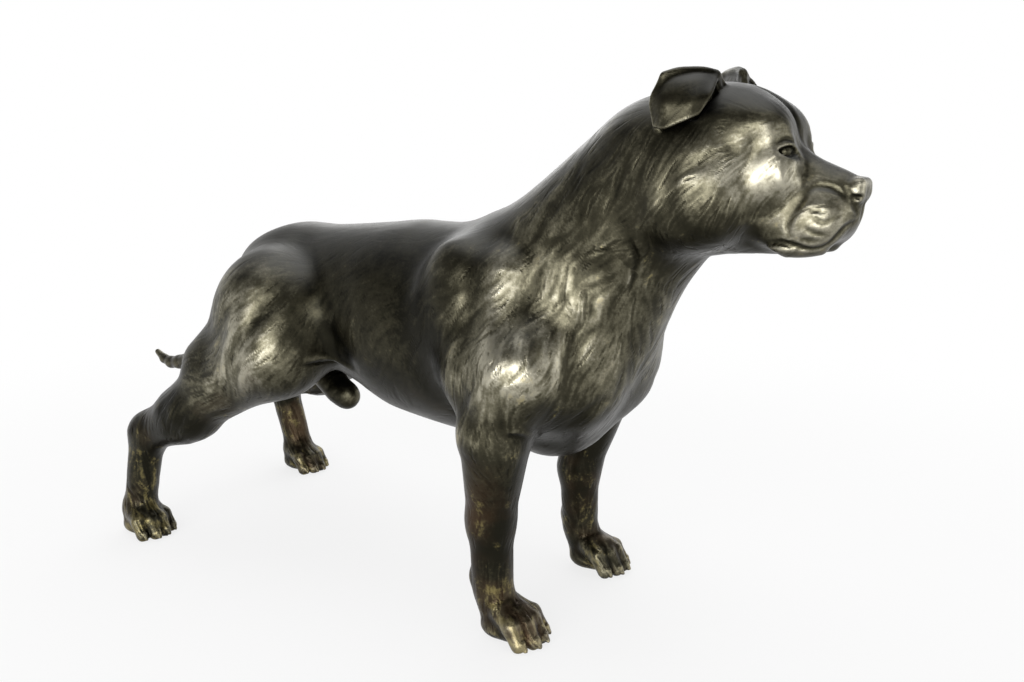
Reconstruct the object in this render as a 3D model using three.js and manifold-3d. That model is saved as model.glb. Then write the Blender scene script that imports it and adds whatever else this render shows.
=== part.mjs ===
// A life-size garden statue of a standing short-haired dog, hollow cast in bronze.
// Sizes are in millimetres and degrees. The dog looks along +X, +Y is its left side and +Z is up.
// The four paws stand on Z = 0, and the origin is under the middle of the statue's bounding box.
//
// The animal is a field of named forms, bones and muscles, which melt into each other the way flesh does.
// The foundry's sections are then cut out of that one surface at welded seams. Each section is a hollow
// casting, a sleeve or a dowel inside every seam holds its two castings in line, and nothing moves.

import * as THREE from 'three';
import { mergeVertices } from 'three/addons/utils/BufferGeometryUtils.js';
import Module from 'manifold-3d';

const wasm = await Module();
wasm.setup();

// Casting and joining
const WALL = 6;
const SEAM_GAP = 0.3;
const EAR_SEAT_GAP = 0.45;
const SLEEVE_WALL = 5;
const NECK_SLEEVE_LENGTH = 60;
const BARREL_SLEEVE_LENGTH = 80;
const LEG_BORE_RADIUS = 15;
const LEG_SLEEVE_WALL = 3.5;
const LEG_SLEEVE_LENGTH = 56;
const FORELEG_BORE_FOOT = 58;
const TAIL_DOWEL_RADIUS = 7;
const TAIL_DOWEL_LENGTH = 64;
const SHEATH_DOWEL_RADIUS = 5;
const SHEATH_DOWEL_LENGTH = 44;
const EAR_DOWEL_RADIUS = 3;
const EAR_DOWEL_LENGTH = 20;

// Places of the seams
const BARREL_SEAM_X = -35;
const NECK_SEAM_SHARE = 0.74;
const FORELEG_SEAM_HEIGHT = 148;
const HINDLEG_SEAM_SHARE = 0.74;
const TAIL_SEAM_SHARE = 0.12;
const SHEATH_SEAM_SHARE = 0.42;

// Stance
const FORE_TRACK = 186;
const HIND_TRACK = 280;
const FOREPAW_X = 181;
const HINDPAW_X = -341;
const LEFT_FORE_SETBACK = 10;
const LEFT_HIND_SETBACK = 17;
const LEFT_HOCK_SETBACK = 23;

// Trunk
const CHEST_X = 45;
const CHEST_HEIGHT = 285;
const CHEST_HALF_LENGTH = 168;
const CHEST_HALF_WIDTH = 92;
const CHEST_HALF_DEPTH = 99;
const CHEST_PITCH = 3;
const KEEL_REAR_RADIUS = 42;
const KEEL_FRONT_RADIUS = 66;
const FORECHEST_REACH = 166;
const FORECHEST_HALF_WIDTH = 86;
const BELLY_RADIUS = 72;
const FLANK_RADIUS = 52;
const LOIN_RADIUS = 62;
const RUMP_X = -163;
const RUMP_HEIGHT = 312;
const RUMP_HALF_LENGTH = 70;
const RUMP_HALF_WIDTH = 60;
const RUMP_HALF_DEPTH = 62;
const WITHERS_RADIUS = 36;

// Neck and head
const NECK_BASE_RADIUS = 77;
const NECK_TOP_RADIUS = 68;
const THROAT_RADIUS = 64;
const NAPE_RADIUS = 36;
const SKULL_HALF_LENGTH = 76;
const SKULL_HALF_WIDTH = 66;
const SKULL_HALF_HEIGHT = 58.5;
const MUZZLE_RADIUS = 37;
const MUZZLE_TIP_RADIUS = 29.5;
const JAW_RADIUS = 27;
const NOSE_HALF_WIDTH = 15.5;
const EYE_RADIUS = 8;
const EYE_SPACING = 66;
const EAR_LENGTH = 60;
const EAR_DROP = 56;
const EAR_THICKNESS = 12;
const EAR_SPACING = 116;

// Forelegs
const SHOULDER_RADIUS = 48;
const ELBOW_RADIUS = 34;
const FOREARM_FOOT_RADIUS = 24;
const CARPUS_RADIUS = 23;
const FORE_PASTERN_RADIUS = 21;
const FOREPAW_SCALE = 0.82;

// Hind legs
const THIGH_HALF_LENGTH = 66;
const THIGH_HALF_WIDTH = 43;
const THIGH_HALF_DEPTH = 68;
const HIP_RADIUS = 54;
const STIFLE_RADIUS = 41;
const CALF_RADIUS = 29;
const HAMSTRING_RADIUS = 37;
const HOCK_RADIUS = 22;
const METATARSUS_RADIUS = 18.5;
const HINDPAW_SCALE = 0.75;

// Tail and sheath
const TAIL_ROOT_RADIUS = 22;
const TAIL_MIDDLE_RADIUS = 14;
const TAIL_TIP_RADIUS = 4.8;
const TAIL_REACH = 264;
const TAIL_DROP = 133;
const TAIL_TIP_RISE = 10;
const SHEATH_RADIUS = 17;
const SHEATH_REACH = 70;
const SHEATH_DROP = 62;

// Blends: how far apart two forms may lie and still melt together
const BROAD_BLEND = 40;
const FLESH_BLEND = 30;
const LIMB_BLEND = 18;
const FINE_BLEND = 8;
const CREASE_BLEND = 4;

// Joints of the skeleton, each [x, y, z]. A paired joint is given for the left side.
const BRISKET = [CHEST_X + 138, 0, CHEST_HEIGHT - 56];
const FORECHEST = [CHEST_X + FORECHEST_REACH, 0, CHEST_HEIGHT + 1];
const LOIN = [CHEST_X - 65, 0, CHEST_HEIGHT + 46];
const CROUP = [RUMP_X + 3, 0, RUMP_HEIGHT + 12];
const WITHERS = [CHEST_X + 65, 0, CHEST_HEIGHT + 55];
const NECK_BASE = [CHEST_X + 132, 0, CHEST_HEIGHT + 59];
const NECK_TOP = [NECK_BASE[0] + 118, 0, NECK_BASE[2] + 94];
const SKULL = [NECK_TOP[0] + 49, 0, NECK_TOP[2] + 30];
const MUZZLE = [SKULL[0] + 59, 0, SKULL[2] - 34];
const MUZZLE_TIP = [MUZZLE[0] + 46, 0, MUZZLE[2] - 9];
const NOSE = [MUZZLE_TIP[0] + 21.5, 0, MUZZLE_TIP[2] + 14.5];
const EYE = [SKULL[0] + 74, EYE_SPACING / 2, SKULL[2] + 3];
const EAR = [SKULL[0] + 3, EAR_SPACING / 2, SKULL[2] + 48];
const SHOULDER = [CHEST_X + 156, CHEST_HALF_WIDTH - 6, CHEST_HEIGHT - 17];
const ELBOW = [CHEST_X + 134, FORE_TRACK / 2 + 6, CHEST_HEIGHT - 70];
const HIP = [RUMP_X + 13, RUMP_HALF_WIDTH + 16, RUMP_HEIGHT - 16];
const STIFLE = [RUMP_X + 48, RUMP_HALF_WIDTH + 38, RUMP_HEIGHT - 64];
const TAIL_ROOT = [RUMP_X - 50, 0, RUMP_HEIGHT + 19];
const TAIL_END = [TAIL_ROOT[0] - TAIL_REACH, 0, TAIL_ROOT[2] - TAIL_DROP];
const GROIN = [RUMP_X - 12, 0, RUMP_HEIGHT - RUMP_HALF_DEPTH + 10];
const SHEATH_ROOT = [RUMP_X - 20, 0, GROIN[2] - 24];
const SHEATH_END = [SHEATH_ROOT[0] + SHEATH_REACH, 0, SHEATH_ROOT[2] - SHEATH_DROP];
const HOCK_HEIGHT = 128;

// How finely each surface is faceted
const TRUNK_STEP = [30, 22, 22];
const CAVITY_STEP = [34, 30, 30];
const FACE_STEP = 9.5;
const NECK_STEP = 20;
const SHAFT_STEP = 17;
const PAW_STEP = 8;
const LIMB_STEP = 10;
const TAIL_STEP = 9;
const TAIL_TIP_STEP = 4.5;
const EAR_STEP = 6;
const ROUND_SIDES = 16;

// Finishes
const BRONZE = { color: 0x4a4132, roughness: 0.36, metalness: 1.0 };
const SLEEVE_METAL = { color: 0x8a7a55, roughness: 0.5, metalness: 1.0 };

// Vector help
const add = (a, b) => [a[0] + b[0], a[1] + b[1], a[2] + b[2]];
const sub = (a, b) => [a[0] - b[0], a[1] - b[1], a[2] - b[2]];
const scaled = (a, k) => [a[0] * k, a[1] * k, a[2] * k];
const dot = (a, b) => a[0] * b[0] + a[1] * b[1] + a[2] * b[2];
const length = (a) => Math.hypot(a[0], a[1], a[2]);
const unit = (a) => scaled(a, 1 / length(a));
const between = (a, b, share) => add(a, scaled(sub(b, a), share));
const onSide = (point, side) => [point[0], point[1] * side, point[2]];
const SIDES = { right: -1, left: 1 };

// Forms: each has a signed distance, and a way of joining what was built before it

// A bone is a round cone with a ball at each end.
function bone(start, end, startRadius, endRadius, blend) {
  const axis = sub(end, start);
  const squared = dot(axis, axis);
  const taper = startRadius - endRadius;
  const slope = squared - taper * taper;
  const distance = (point) => {
    const offset = sub(point, start);
    const along = dot(offset, axis);
    const beyond = along - squared;
    const across = sub(scaled(offset, squared), scaled(axis, along));
    const acrossSquared = dot(across, across);
    const limit = Math.sign(taper) * taper * taper * acrossSquared;
    if (Math.sign(beyond) * slope * beyond * beyond * squared > limit) {
      return Math.sqrt(acrossSquared + beyond * beyond * squared) / squared - endRadius;
    }
    if (Math.sign(along) * slope * along * along * squared < limit) {
      return Math.sqrt(acrossSquared + along * along * squared) / squared - startRadius;
    }
    return (Math.sqrt(acrossSquared * slope / squared) + along * taper) / squared - startRadius;
  };
  return { distance, blend };
}

// A muscle is an ellipsoid, rolled about X, then pitched nose down about Y, then turned left about Z.
function muscle(centre, half, blend, { yaw = 0, pitch = 0, roll = 0 } = {}) {
  const turn = new THREE.Matrix4().makeRotationZ(THREE.MathUtils.degToRad(yaw));
  turn.multiply(new THREE.Matrix4().makeRotationY(THREE.MathUtils.degToRad(pitch)));
  turn.multiply(new THREE.Matrix4().makeRotationX(THREE.MathUtils.degToRad(roll)));
  const axes = [new THREE.Vector3(), new THREE.Vector3(), new THREE.Vector3()];
  turn.extractBasis(...axes);
  const directions = axes.map((axis) => axis.toArray());
  const distance = (point) => {
    const offset = sub(point, centre);
    const local = directions.map((direction, i) => dot(offset, direction) / half[i]);
    const reach = length(local);
    const steepness = Math.hypot(local[0] / half[0], local[1] / half[1], local[2] / half[2]);
    return steepness > 0 ? reach * (reach - 1) / steepness : -Math.min(...half);
  };
  return { distance, blend };
}

const hollow = (form) => ({ ...form, hollow: true });

// Two distances melted together over the width of a blend
function melted(a, b, blend) {
  const overlap = Math.max(blend - Math.abs(a - b), 0) / blend;
  return Math.min(a, b) - overlap * overlap * blend / 4;
}

function field(forms) {
  return (point) => forms.reduce((reached, form) => {
    const own = form.distance(point);
    return form.hollow ? -melted(-reached, own, form.blend) : melted(reached, own, form.blend);
  }, Infinity);
}

const bothSides = (build) => Object.values(SIDES).flatMap(build);

// The dog's forms, region by region

function trunkForms() {
  return [
    muscle([CHEST_X, 0, CHEST_HEIGHT], [CHEST_HALF_LENGTH, CHEST_HALF_WIDTH, CHEST_HALF_DEPTH],
      FLESH_BLEND, { pitch: CHEST_PITCH }),
    bone([CHEST_X - 36, 0, CHEST_HEIGHT - 44], BRISKET, KEEL_REAR_RADIUS, KEEL_FRONT_RADIUS, BROAD_BLEND),
    muscle(FORECHEST, [72, FORECHEST_HALF_WIDTH, 86], BROAD_BLEND),
    bone([CHEST_X - 46, 0, CHEST_HEIGHT - 2], [RUMP_X + 3, 0, RUMP_HEIGHT - 11],
      BELLY_RADIUS, FLANK_RADIUS, BROAD_BLEND),
    bone(LOIN, CROUP, LOIN_RADIUS, LOIN_RADIUS - 3, BROAD_BLEND),
    muscle([RUMP_X, 0, RUMP_HEIGHT], [RUMP_HALF_LENGTH, RUMP_HALF_WIDTH, RUMP_HALF_DEPTH],
      FLESH_BLEND, { pitch: -16 }),
    bone(WITHERS, sub(WITHERS, [80, 0, 3]), WITHERS_RADIUS, WITHERS_RADIUS, BROAD_BLEND),
  ];
}

function neckForms() {
  return [
    bone(NECK_BASE, NECK_TOP, NECK_BASE_RADIUS, NECK_TOP_RADIUS, BROAD_BLEND + 10),
    bone(add(NECK_BASE, [18, 0, 34]), add(NECK_TOP, [-5, 0, 11]), NAPE_RADIUS, NAPE_RADIUS + 16,
      BROAD_BLEND),
    bone(add(NECK_BASE, [51, 0, -28]), add(NECK_TOP, [12, 0, -25]), THROAT_RADIUS, THROAT_RADIUS - 17,
      BROAD_BLEND),
  ];
}

function headForms() {
  const paired = bothSides((side) => [
    muscle(onSide(add(SKULL, [6, 43, -38]), side), [47, 37, 43], FLESH_BLEND - 4),
    muscle(onSide(add(SKULL, [58, 25.5, 17]), side), [20.5, 18.5, 16.5], FLESH_BLEND - 10),
    muscle(onSide(add(MUZZLE_TIP, [-14, 21.5, -12.5]), side), [37, 17.5, 24.5], LIMB_BLEND - 4),
  ]);
  const eyes = bothSides((side) => [
    hollow(muscle(onSide(add(EYE, [4, 3, 0]), side), [10, 8, 7], FINE_BLEND)),
    muscle(onSide(sub(EYE, [2, 2, 0]), side), [EYE_RADIUS, EYE_RADIUS, EYE_RADIUS - 1], CREASE_BLEND),
  ]);
  return [
    muscle(SKULL, [SKULL_HALF_LENGTH, SKULL_HALF_WIDTH, SKULL_HALF_HEIGHT], FLESH_BLEND),
    muscle(add(SKULL, [33, 0, 23]), [41, 41, 29], FLESH_BLEND - 10, { pitch: 20 }),
    bone(MUZZLE, MUZZLE_TIP, MUZZLE_RADIUS, MUZZLE_TIP_RADIUS, FLESH_BLEND - 8),
    bone(add(MUZZLE, [13, 0, 22.5]), add(MUZZLE_TIP, [14, 0, 15.5]), 16.5, 12.5, LIMB_BLEND - 4),
    bone(add(MUZZLE, [-41, 0, -25]), add(MUZZLE_TIP, [-14, 0, -24]), JAW_RADIUS, JAW_RADIUS - 12.5,
      LIMB_BLEND),
    ...paired,
    muscle(NOSE, [11.5, NOSE_HALF_WIDTH, 11.5], CREASE_BLEND),
    ...eyes,
  ];
}

function shoulderForms(side) {
  const bladeCentre = add(SHOULDER, [-75, -8, 37]);
  return [
    muscle(onSide(bladeCentre, side), [48, 33, 80], BROAD_BLEND, { pitch: -20 }),
    bone(onSide(SHOULDER, side), onSide(ELBOW, side), SHOULDER_RADIUS, ELBOW_RADIUS, FLESH_BLEND),
    muscle(onSide(add(ELBOW, [-28, -9, 45]), side), [32, 26, 34], FLESH_BLEND - 6, { pitch: 20 }),
    muscle(onSide(add(SHOULDER, [29, -45, -6]), side), [46, 42, 56], FLESH_BLEND - 4),
  ];
}

// How far the left limb stands behind the right one
const setback = (side, amount) => (side === SIDES.left ? amount : 0);

// The paw stands under its ankle. Its scale is 1 for a paw 88 long.
function pawForms(ankle, scale, side) {
  const place = (x, y, z) => onSide([ankle[0] + x * scale, ankle[1] + y * scale, z * scale], side);
  const toes = [-23, -8.5, 8.5, 23].flatMap((spread) => {
    const set = Math.abs(spread) > 10 ? 10 : 0;
    const root = place(20 - set / 2, spread * 0.75, 36);
    const knuckle = place(46 - set, spread, 27);
    const tip = place(61 - set, spread * 1.1, 7);
    return [
      bone(root, knuckle, 11 * scale, 11.5 * scale, FINE_BLEND - 2),
      bone(knuckle, tip, 11.5 * scale, 9 * scale, CREASE_BLEND),
    ];
  });
  return [
    bone(place(0, 0, 28), place(28, 1, 22), 22 * scale, 26 * scale, LIMB_BLEND - 2),
    muscle(place(2, 0, 12), [21 * scale, 22 * scale, 15 * scale], FINE_BLEND),
    ...toes,
  ];
}

function foreAnkle(side) {
  return [FOREPAW_X - setback(side, LEFT_FORE_SETBACK), FORE_TRACK / 2, 0];
}

function forelegForms(side) {
  const ankle = foreAnkle(side);
  const carpus = [ankle[0] - 9, ankle[1], 116];
  const pastern = [ankle[0] - 7, ankle[1], 48];
  return [
    bone(onSide(sub(ELBOW, [1, 0, 15]), side), onSide(carpus, side), ELBOW_RADIUS, FOREARM_FOOT_RADIUS,
      LIMB_BLEND - 6),
    bone(onSide(carpus, side), onSide(pastern, side), CARPUS_RADIUS, FORE_PASTERN_RADIUS, LIMB_BLEND - 4),
    muscle(onSide(add(ELBOW, [-22, 5, -18]), side), [11, 12, 14], FINE_BLEND),
    muscle(onSide(add(pastern, [-17, 2, -4]), side), [7, 9, 9], FINE_BLEND),
    ...pawForms(ankle, FOREPAW_SCALE, side),
  ];
}

function thighForms(side) {
  return [
    muscle(onSide(add(HIP, [17, 4, -16]), side), [THIGH_HALF_LENGTH, THIGH_HALF_WIDTH, THIGH_HALF_DEPTH],
      BROAD_BLEND - 4, { pitch: -30 }),
    bone(onSide(add(HIP, [8, -4, 23]), side), onSide(add(STIFLE, [-117, 10, -17]), side),
      HAMSTRING_RADIUS, HAMSTRING_RADIUS - 9, BROAD_BLEND - 4),
    bone(onSide(HIP, side), onSide(STIFLE, side), HIP_RADIUS, STIFLE_RADIUS, BROAD_BLEND - 4),
  ];
}

function hindAnkle(side) {
  return [HINDPAW_X - setback(side, LEFT_HIND_SETBACK), HIND_TRACK / 2, 0];
}

const calfStart = () => add(STIFLE, [-4, 4, -5]);

function calfEnd(side) {
  const swing = 0.7 * (setback(side, LEFT_HIND_SETBACK) + setback(side, LEFT_HOCK_SETBACK));
  return [HINDPAW_X + 84 - swing, HIND_TRACK / 2 - 18, HOCK_HEIGHT + 35];
}

function hindlegForms(side) {
  const ankle = hindAnkle(side);
  const hock = [ankle[0] + 22 - setback(side, LEFT_HOCK_SETBACK), ankle[1] - 6, HOCK_HEIGHT];
  const end = calfEnd(side);
  return [
    bone(onSide(calfStart(), side), onSide(end, side), STIFLE_RADIUS, CALF_RADIUS, BROAD_BLEND - 4),
    bone(onSide(add(end, [47, -12, 53]), side), onSide(add(hock, [0, -4, 20]), side), HOCK_RADIUS,
      HOCK_RADIUS - 8, LIMB_BLEND + 6),
    bone(onSide(sub(end, [0, 0, 4]), side), onSide(add(hock, [8, -1, 2]), side), CALF_RADIUS - 1,
      HOCK_RADIUS, LIMB_BLEND + 6),
    bone(onSide(hock, side), onSide([ankle[0] + 4, ankle[1] - 1, 40], side), METATARSUS_RADIUS + 1.5,
      METATARSUS_RADIUS, LIMB_BLEND),
    ...pawForms(ankle, HINDPAW_SCALE, side),
  ];
}

// A point of the tail, by how much of its reach and of its drop lies before it
const alongTail = (reach, drop) => (
  add(TAIL_ROOT, [-TAIL_REACH * reach, 0, -(TAIL_DROP + TAIL_TIP_RISE) * drop])
);

// The tail hangs behind the buttocks and turns up at its tip.
function tailPath() {
  return [
    { at: TAIL_ROOT, radius: TAIL_ROOT_RADIUS },
    { at: alongTail(0.205, 0.39), radius: (TAIL_ROOT_RADIUS + TAIL_MIDDLE_RADIUS) / 2 },
    { at: alongTail(0.545, 0.865), radius: TAIL_MIDDLE_RADIUS },
    { at: alongTail(0.784, 1), radius: TAIL_MIDDLE_RADIUS - 4 },
    { at: alongTail(0.917, 1), radius: TAIL_TIP_RADIUS + 2.7 },
    { at: add(TAIL_END, [0, 0, TAIL_TIP_RISE]), radius: TAIL_TIP_RADIUS },
  ];
}

function tailForms() {
  const path = tailPath();
  return path.slice(1).map((next, i) => {
    const last = path[i];
    return bone(last.at, next.at, last.radius, next.radius, i ? LIMB_BLEND - 6 : LIMB_BLEND);
  });
}

function sheathForms() {
  const middle = between(SHEATH_ROOT, SHEATH_END, 0.83);
  return [
    bone(GROIN, SHEATH_ROOT, SHEATH_RADIUS, SHEATH_RADIUS + 2, LIMB_BLEND + 4),
    bone(SHEATH_ROOT, middle, SHEATH_RADIUS + 2, SHEATH_RADIUS - 2, LIMB_BLEND + 4),
    muscle(SHEATH_END, [SHEATH_RADIUS, SHEATH_RADIUS - 3, SHEATH_RADIUS - 2], FINE_BLEND),
  ];
}

// A folded ear: a leaf that hangs outward from a ridge, which runs back and out from the top of its root.
function earForms(side) {
  const ridgeFront = add(EAR, [17, -26, 20]);
  const ridgeRear = add(EAR, [-12, -1, 17]);
  return [
    bone(onSide(add(EAR, [6, -25, -6]), side), onSide(add(EAR, [8, -19, 8]), side), 15, 10, FINE_BLEND),
    muscle(onSide(EAR, side), [EAR_LENGTH / 2, EAR_THICKNESS / 2, EAR_DROP / 2], CREASE_BLEND,
      { yaw: -20 * side, pitch: -8, roll: 32 * side }),
    bone(onSide(ridgeFront, side), onSide(ridgeRear, side), 6.2, 7.2, CREASE_BLEND),
  ];
}

// Surfaces: a field is faceted on a grid whose steps may change along each axis

// Grid lines from a start through one or more stretches, each [end, step].
function gridLines(start, stretches) {
  const lines = [start];
  let from = start;
  for (const [end, step] of stretches) {
    const count = Math.max(1, Math.round((end - from) / step));
    for (let i = 1; i <= count; i += 1) {
      lines.push(from + (end - from) * i / count);
    }
    from = end;
  }
  return lines;
}

// Steps a point down the field's slope until it lies at the wanted level, no further away than its reach.
const SETTLED = 0.01;
function settle(sample, point, level, reach) {
  const probe = 0.05;
  let at = point;
  for (let round = 0; round < 4; round += 1) {
    const here = sample(at) - level;
    if (Math.abs(here) < SETTLED) {
      break;
    }
    const slope = [0, 1, 2].map((axis) => {
      const ahead = [...at];
      const behind = [...at];
      ahead[axis] += probe;
      behind[axis] -= probe;
      return (sample(ahead) - sample(behind)) / (2 * probe);
    });
    const steepness = dot(slope, slope);
    if (steepness < 0.1) {
      break;
    }
    at = sub(at, scaled(slope, here / steepness));
  }
  const travel = length(sub(at, point));
  return travel > reach ? between(point, at, reach / travel) : at;
}

const CELL_CORNERS = [0, 1, 2, 3, 4, 5, 6, 7].map((n) => [n >> 2 & 1, n >> 1 & 1, n & 1]);
const CELL_EDGES = [0, 1, 2].flatMap((axis) => CELL_CORNERS.filter((low) => !low[axis]).map((low) => (
  { axis, low, high: low.map((n, i) => (i === axis ? 1 : n)) }
)));
const edgeIndex = (axis, u, v) => CELL_EDGES.findIndex(({ axis: own, low }) => (
  own === axis && low[(axis + 1) % 3] === u && low[(axis + 2) % 3] === v
));
// The four cells around a grid edge: [u, v, which of the cell's edges it is], for each axis
const AROUND_EDGE = [0, 1, 2].map((axis) => (
  [[1, 1], [0, 1], [0, 0], [1, 0]].map(([u, v]) => [u, v, edgeIndex(axis, u, v)])
));
const CELL_FACES = [0, 1, 2].flatMap((axis) => [0, 1].map((level) => (
  [...CELL_EDGES.keys()].filter((n) => CELL_EDGES[n].axis !== axis && CELL_EDGES[n].low[axis] === level)
)));

// Sorts a cell's cut edges into the separate patches of surface that pass through it.
function patchesOf(isInside) {
  const isCut = CELL_EDGES.map(({ low, high }) => isInside(low) !== isInside(high));
  const innerCorner = ({ low, high }) => (isInside(low) ? low : high).join();
  const patch = [...CELL_EDGES.keys()];
  const link = (a, b) => {
    const dropped = patch[b];
    patch.forEach((label, n) => {
      patch[n] = label === dropped ? patch[a] : label;
    });
  };
  for (const face of CELL_FACES) {
    const cut = face.filter((n) => isCut[n]);
    for (const a of cut) {
      for (const b of cut) {
        if (cut.length === 2 || innerCorner(CELL_EDGES[a]) === innerCorner(CELL_EDGES[b])) {
          link(a, b);
        }
      }
    }
  }
  const cutEdges = [...CELL_EDGES.keys()].filter((n) => isCut[n]);
  const labels = new Set(cutEdges.map((n) => patch[n]));
  return [...labels].map((label) => cutEdges.filter((n) => patch[n] === label));
}

// One vertex for each patch of surface in a grid cell, and a quad across each grid edge that is cut.
// Where the body runs on past the grid, it is closed just inside the grid's edge, for a block to cut off.
function facet(sample, lines, level = 0) {
  const size = lines.map((axis) => axis.length);
  const index = (i, j, k) => (i * size[1] + j) * size[2] + k;
  const onEdge = (cell, last) => cell.some((n, axis) => n === 0 || n === size[axis] - last);
  const forEachCell = (visit) => {
    for (let i = 0; i < size[0] - 1; i += 1) {
      for (let j = 0; j < size[1] - 1; j += 1) {
        for (let k = 0; k < size[2] - 1; k += 1) {
          visit([i, j, k]);
        }
      }
    }
  };
  const values = new Float64Array(size[0] * size[1] * size[2]);
  lines[0].forEach((x, i) => lines[1].forEach((y, j) => lines[2].forEach((z, k) => {
    const value = sample([x, y, z]) - level;
    values[index(i, j, k)] = onEdge([i, j, k], 1) ? Math.max(value, 1) : value;
  })));
  const vertexOf = new Map();
  const points = [];
  forEachCell((cell) => {
    const valueAt = ([a, b, c]) => values[index(cell[0] + a, cell[1] + b, cell[2] + c)];
    const insideCorners = CELL_CORNERS.filter((corner) => valueAt(corner) < 0).length;
    if (insideCorners === 0 || insideCorners === CELL_CORNERS.length) {
      return;
    }
    const place = (corner) => add(cell, corner).map((n, axis) => lines[axis][n]);
    const crossing = ({ low, high }) => (
      between(place(low), place(high), valueAt(low) / (valueAt(low) - valueAt(high)))
    );
    const reach = Math.min(...sub(place([1, 1, 1]), place([0, 0, 0]))) / 2;
    for (const edges of patchesOf((corner) => valueAt(corner) < 0)) {
      const middle = scaled(edges.map((n) => crossing(CELL_EDGES[n])).reduce(add), 1 / edges.length);
      edges.forEach((n) => vertexOf.set(index(...cell) * CELL_EDGES.length + n, points.length));
      points.push(onEdge(cell, 2) ? middle : settle(sample, middle, level, reach));
    }
  });
  const triangles = [];
  forEachCell((cell) => {
    const inside = values[index(...cell)] < 0;
    for (const axis of [0, 1, 2]) {
      const next = cell.map((n, i) => (i === axis ? n + 1 : n));
      if (inside !== values[index(...next)] < 0) {
        const around = AROUND_EDGE[axis].map(([u, v, edge]) => {
          const low = [0, 0, 0];
          low[(axis + 1) % 3] = u;
          low[(axis + 2) % 3] = v;
          return vertexOf.get(index(...sub(cell, low)) * CELL_EDGES.length + edge);
        });
        const [a, b, c, d] = inside ? around : around.reverse();
        const shortFirst = length(sub(points[a], points[c])) < length(sub(points[b], points[d]));
        triangles.push(...(shortFirst ? [a, b, c, a, c, d] : [a, b, d, b, c, d]));
      }
    }
  });
  return { points, triangles };
}

// The same facets with each vertex moved out along its normal, or in where the distance is negative
function swollen({ points, triangles }, distance) {
  const normals = points.map(() => [0, 0, 0]);
  for (let t = 0; t < triangles.length; t += 3) {
    const [a, b, c] = triangles.slice(t, t + 3);
    const u = new THREE.Vector3(...sub(points[b], points[a]));
    const v = new THREE.Vector3(...sub(points[c], points[a]));
    const normal = u.cross(v).toArray();
    for (const corner of [a, b, c]) {
      normals[corner] = add(normals[corner], normal);
    }
  }
  const moved = points.map((point, i) => add(point, scaled(unit(normals[i]), distance)));
  return { points: moved, triangles };
}

// Solids: joined and cut as closed bodies

function solidOf({ points, triangles }) {
  return new wasm.Manifold(new wasm.Mesh({
    numProp: 3,
    vertProperties: Float32Array.from(points.flat()),
    triVerts: Uint32Array.from(triangles),
  }));
}

function solidOfGeometry(geometry) {
  const bare = geometry.clone();
  bare.deleteAttribute('normal');
  bare.deleteAttribute('uv');
  const merged = mergeVertices(bare, 1e-4);
  return new wasm.Manifold(new wasm.Mesh({
    numProp: 3,
    vertProperties: Float32Array.from(merged.attributes.position.array),
    triVerts: Uint32Array.from(merged.index.array),
  }));
}

// A round rod between two points
function rod(start, end, radius) {
  const geometry = new THREE.CylinderGeometry(radius, radius, length(sub(end, start)), ROUND_SIDES);
  const direction = new THREE.Vector3(...unit(sub(end, start)));
  geometry.applyQuaternion(new THREE.Quaternion().setFromUnitVectors(new THREE.Vector3(0, 1, 0), direction));
  geometry.translate(...between(start, end, 0.5));
  return solidOfGeometry(geometry);
}

// A block on one side of a seam, starting at an offset from it: [depth along the normal, across, wide]
function blockBeyond(seam, offset, [depth, across, wide], shiftWide = 0) {
  const geometry = new THREE.BoxGeometry(depth, wide, across);
  geometry.translate(offset + depth / 2, shiftWide, 0);
  const normal = new THREE.Vector3(...seam.normal);
  const frame = new THREE.Matrix4();
  const wideAxis = new THREE.Vector3(0, 1, 0).addScaledVector(normal, -normal.y).normalize();
  frame.makeBasis(normal, wideAxis, new THREE.Vector3().crossVectors(normal, wideAxis));
  geometry.applyMatrix4(frame);
  geometry.translate(...seam.point);
  return solidOfGeometry(geometry);
}

const HALF_GAP = SEAM_GAP / 2;
const WHOLE = 1400;

const beyond = (seam) => blockBeyond(seam, HALF_GAP, [WHOLE, WHOLE, WHOLE]);
const before = (seam) => beyond({ point: seam.point, normal: scaled(seam.normal, -1) });

function slabAt(seam, thickness) {
  return blockBeyond(seam, -thickness / 2, [thickness, WHOLE, WHOLE]);
}

// Seams

const barrelSeam = { point: [BARREL_SEAM_X, 0, CHEST_HEIGHT], normal: [-1, 0, 0] };
const neckSeam = {
  point: between(NECK_BASE, NECK_TOP, NECK_SEAM_SHARE),
  normal: unit(sub(NECK_TOP, NECK_BASE)),
};

function forelegSeam(side) {
  const ankle = foreAnkle(side);
  return { point: onSide([ankle[0] - 8, ankle[1] + 2, FORELEG_SEAM_HEIGHT], side), normal: [0, 0, -1] };
}

function hindlegSeam(side) {
  const start = onSide(calfStart(), side);
  const end = onSide(calfEnd(side), side);
  return { point: between(start, end, HINDLEG_SEAM_SHARE), normal: unit(sub(end, start)) };
}

// The tail comes free of the rump at the end of its first bone.
const [, tailBend, tailMiddle] = tailPath();
const tailSeam = {
  point: between(tailBend.at, tailMiddle.at, TAIL_SEAM_SHARE),
  normal: unit(sub(tailMiddle.at, tailBend.at)),
};
const sheathSeam = {
  point: between(SHEATH_ROOT, SHEATH_END, SHEATH_SEAM_SHARE),
  normal: unit(sub(SHEATH_END, SHEATH_ROOT)),
};

// The room that each limb takes up past its seam: [length, across, wide]
const FORELEG_ROOM = [200, 190, 120];
const HINDLEG_ROOM = [330, 280, 136];
const TAIL_ROOM = [250, 170, 64];
const SHEATH_ROOM_WIDTH = 2 * (SHEATH_RADIUS + 8);
const SHEATH_ROOM = [SHEATH_REACH + 30, SHEATH_ROOM_WIDTH, SHEATH_ROOM_WIDTH];
const HINDLEG_ROOM_SHIFT = 12;

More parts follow.
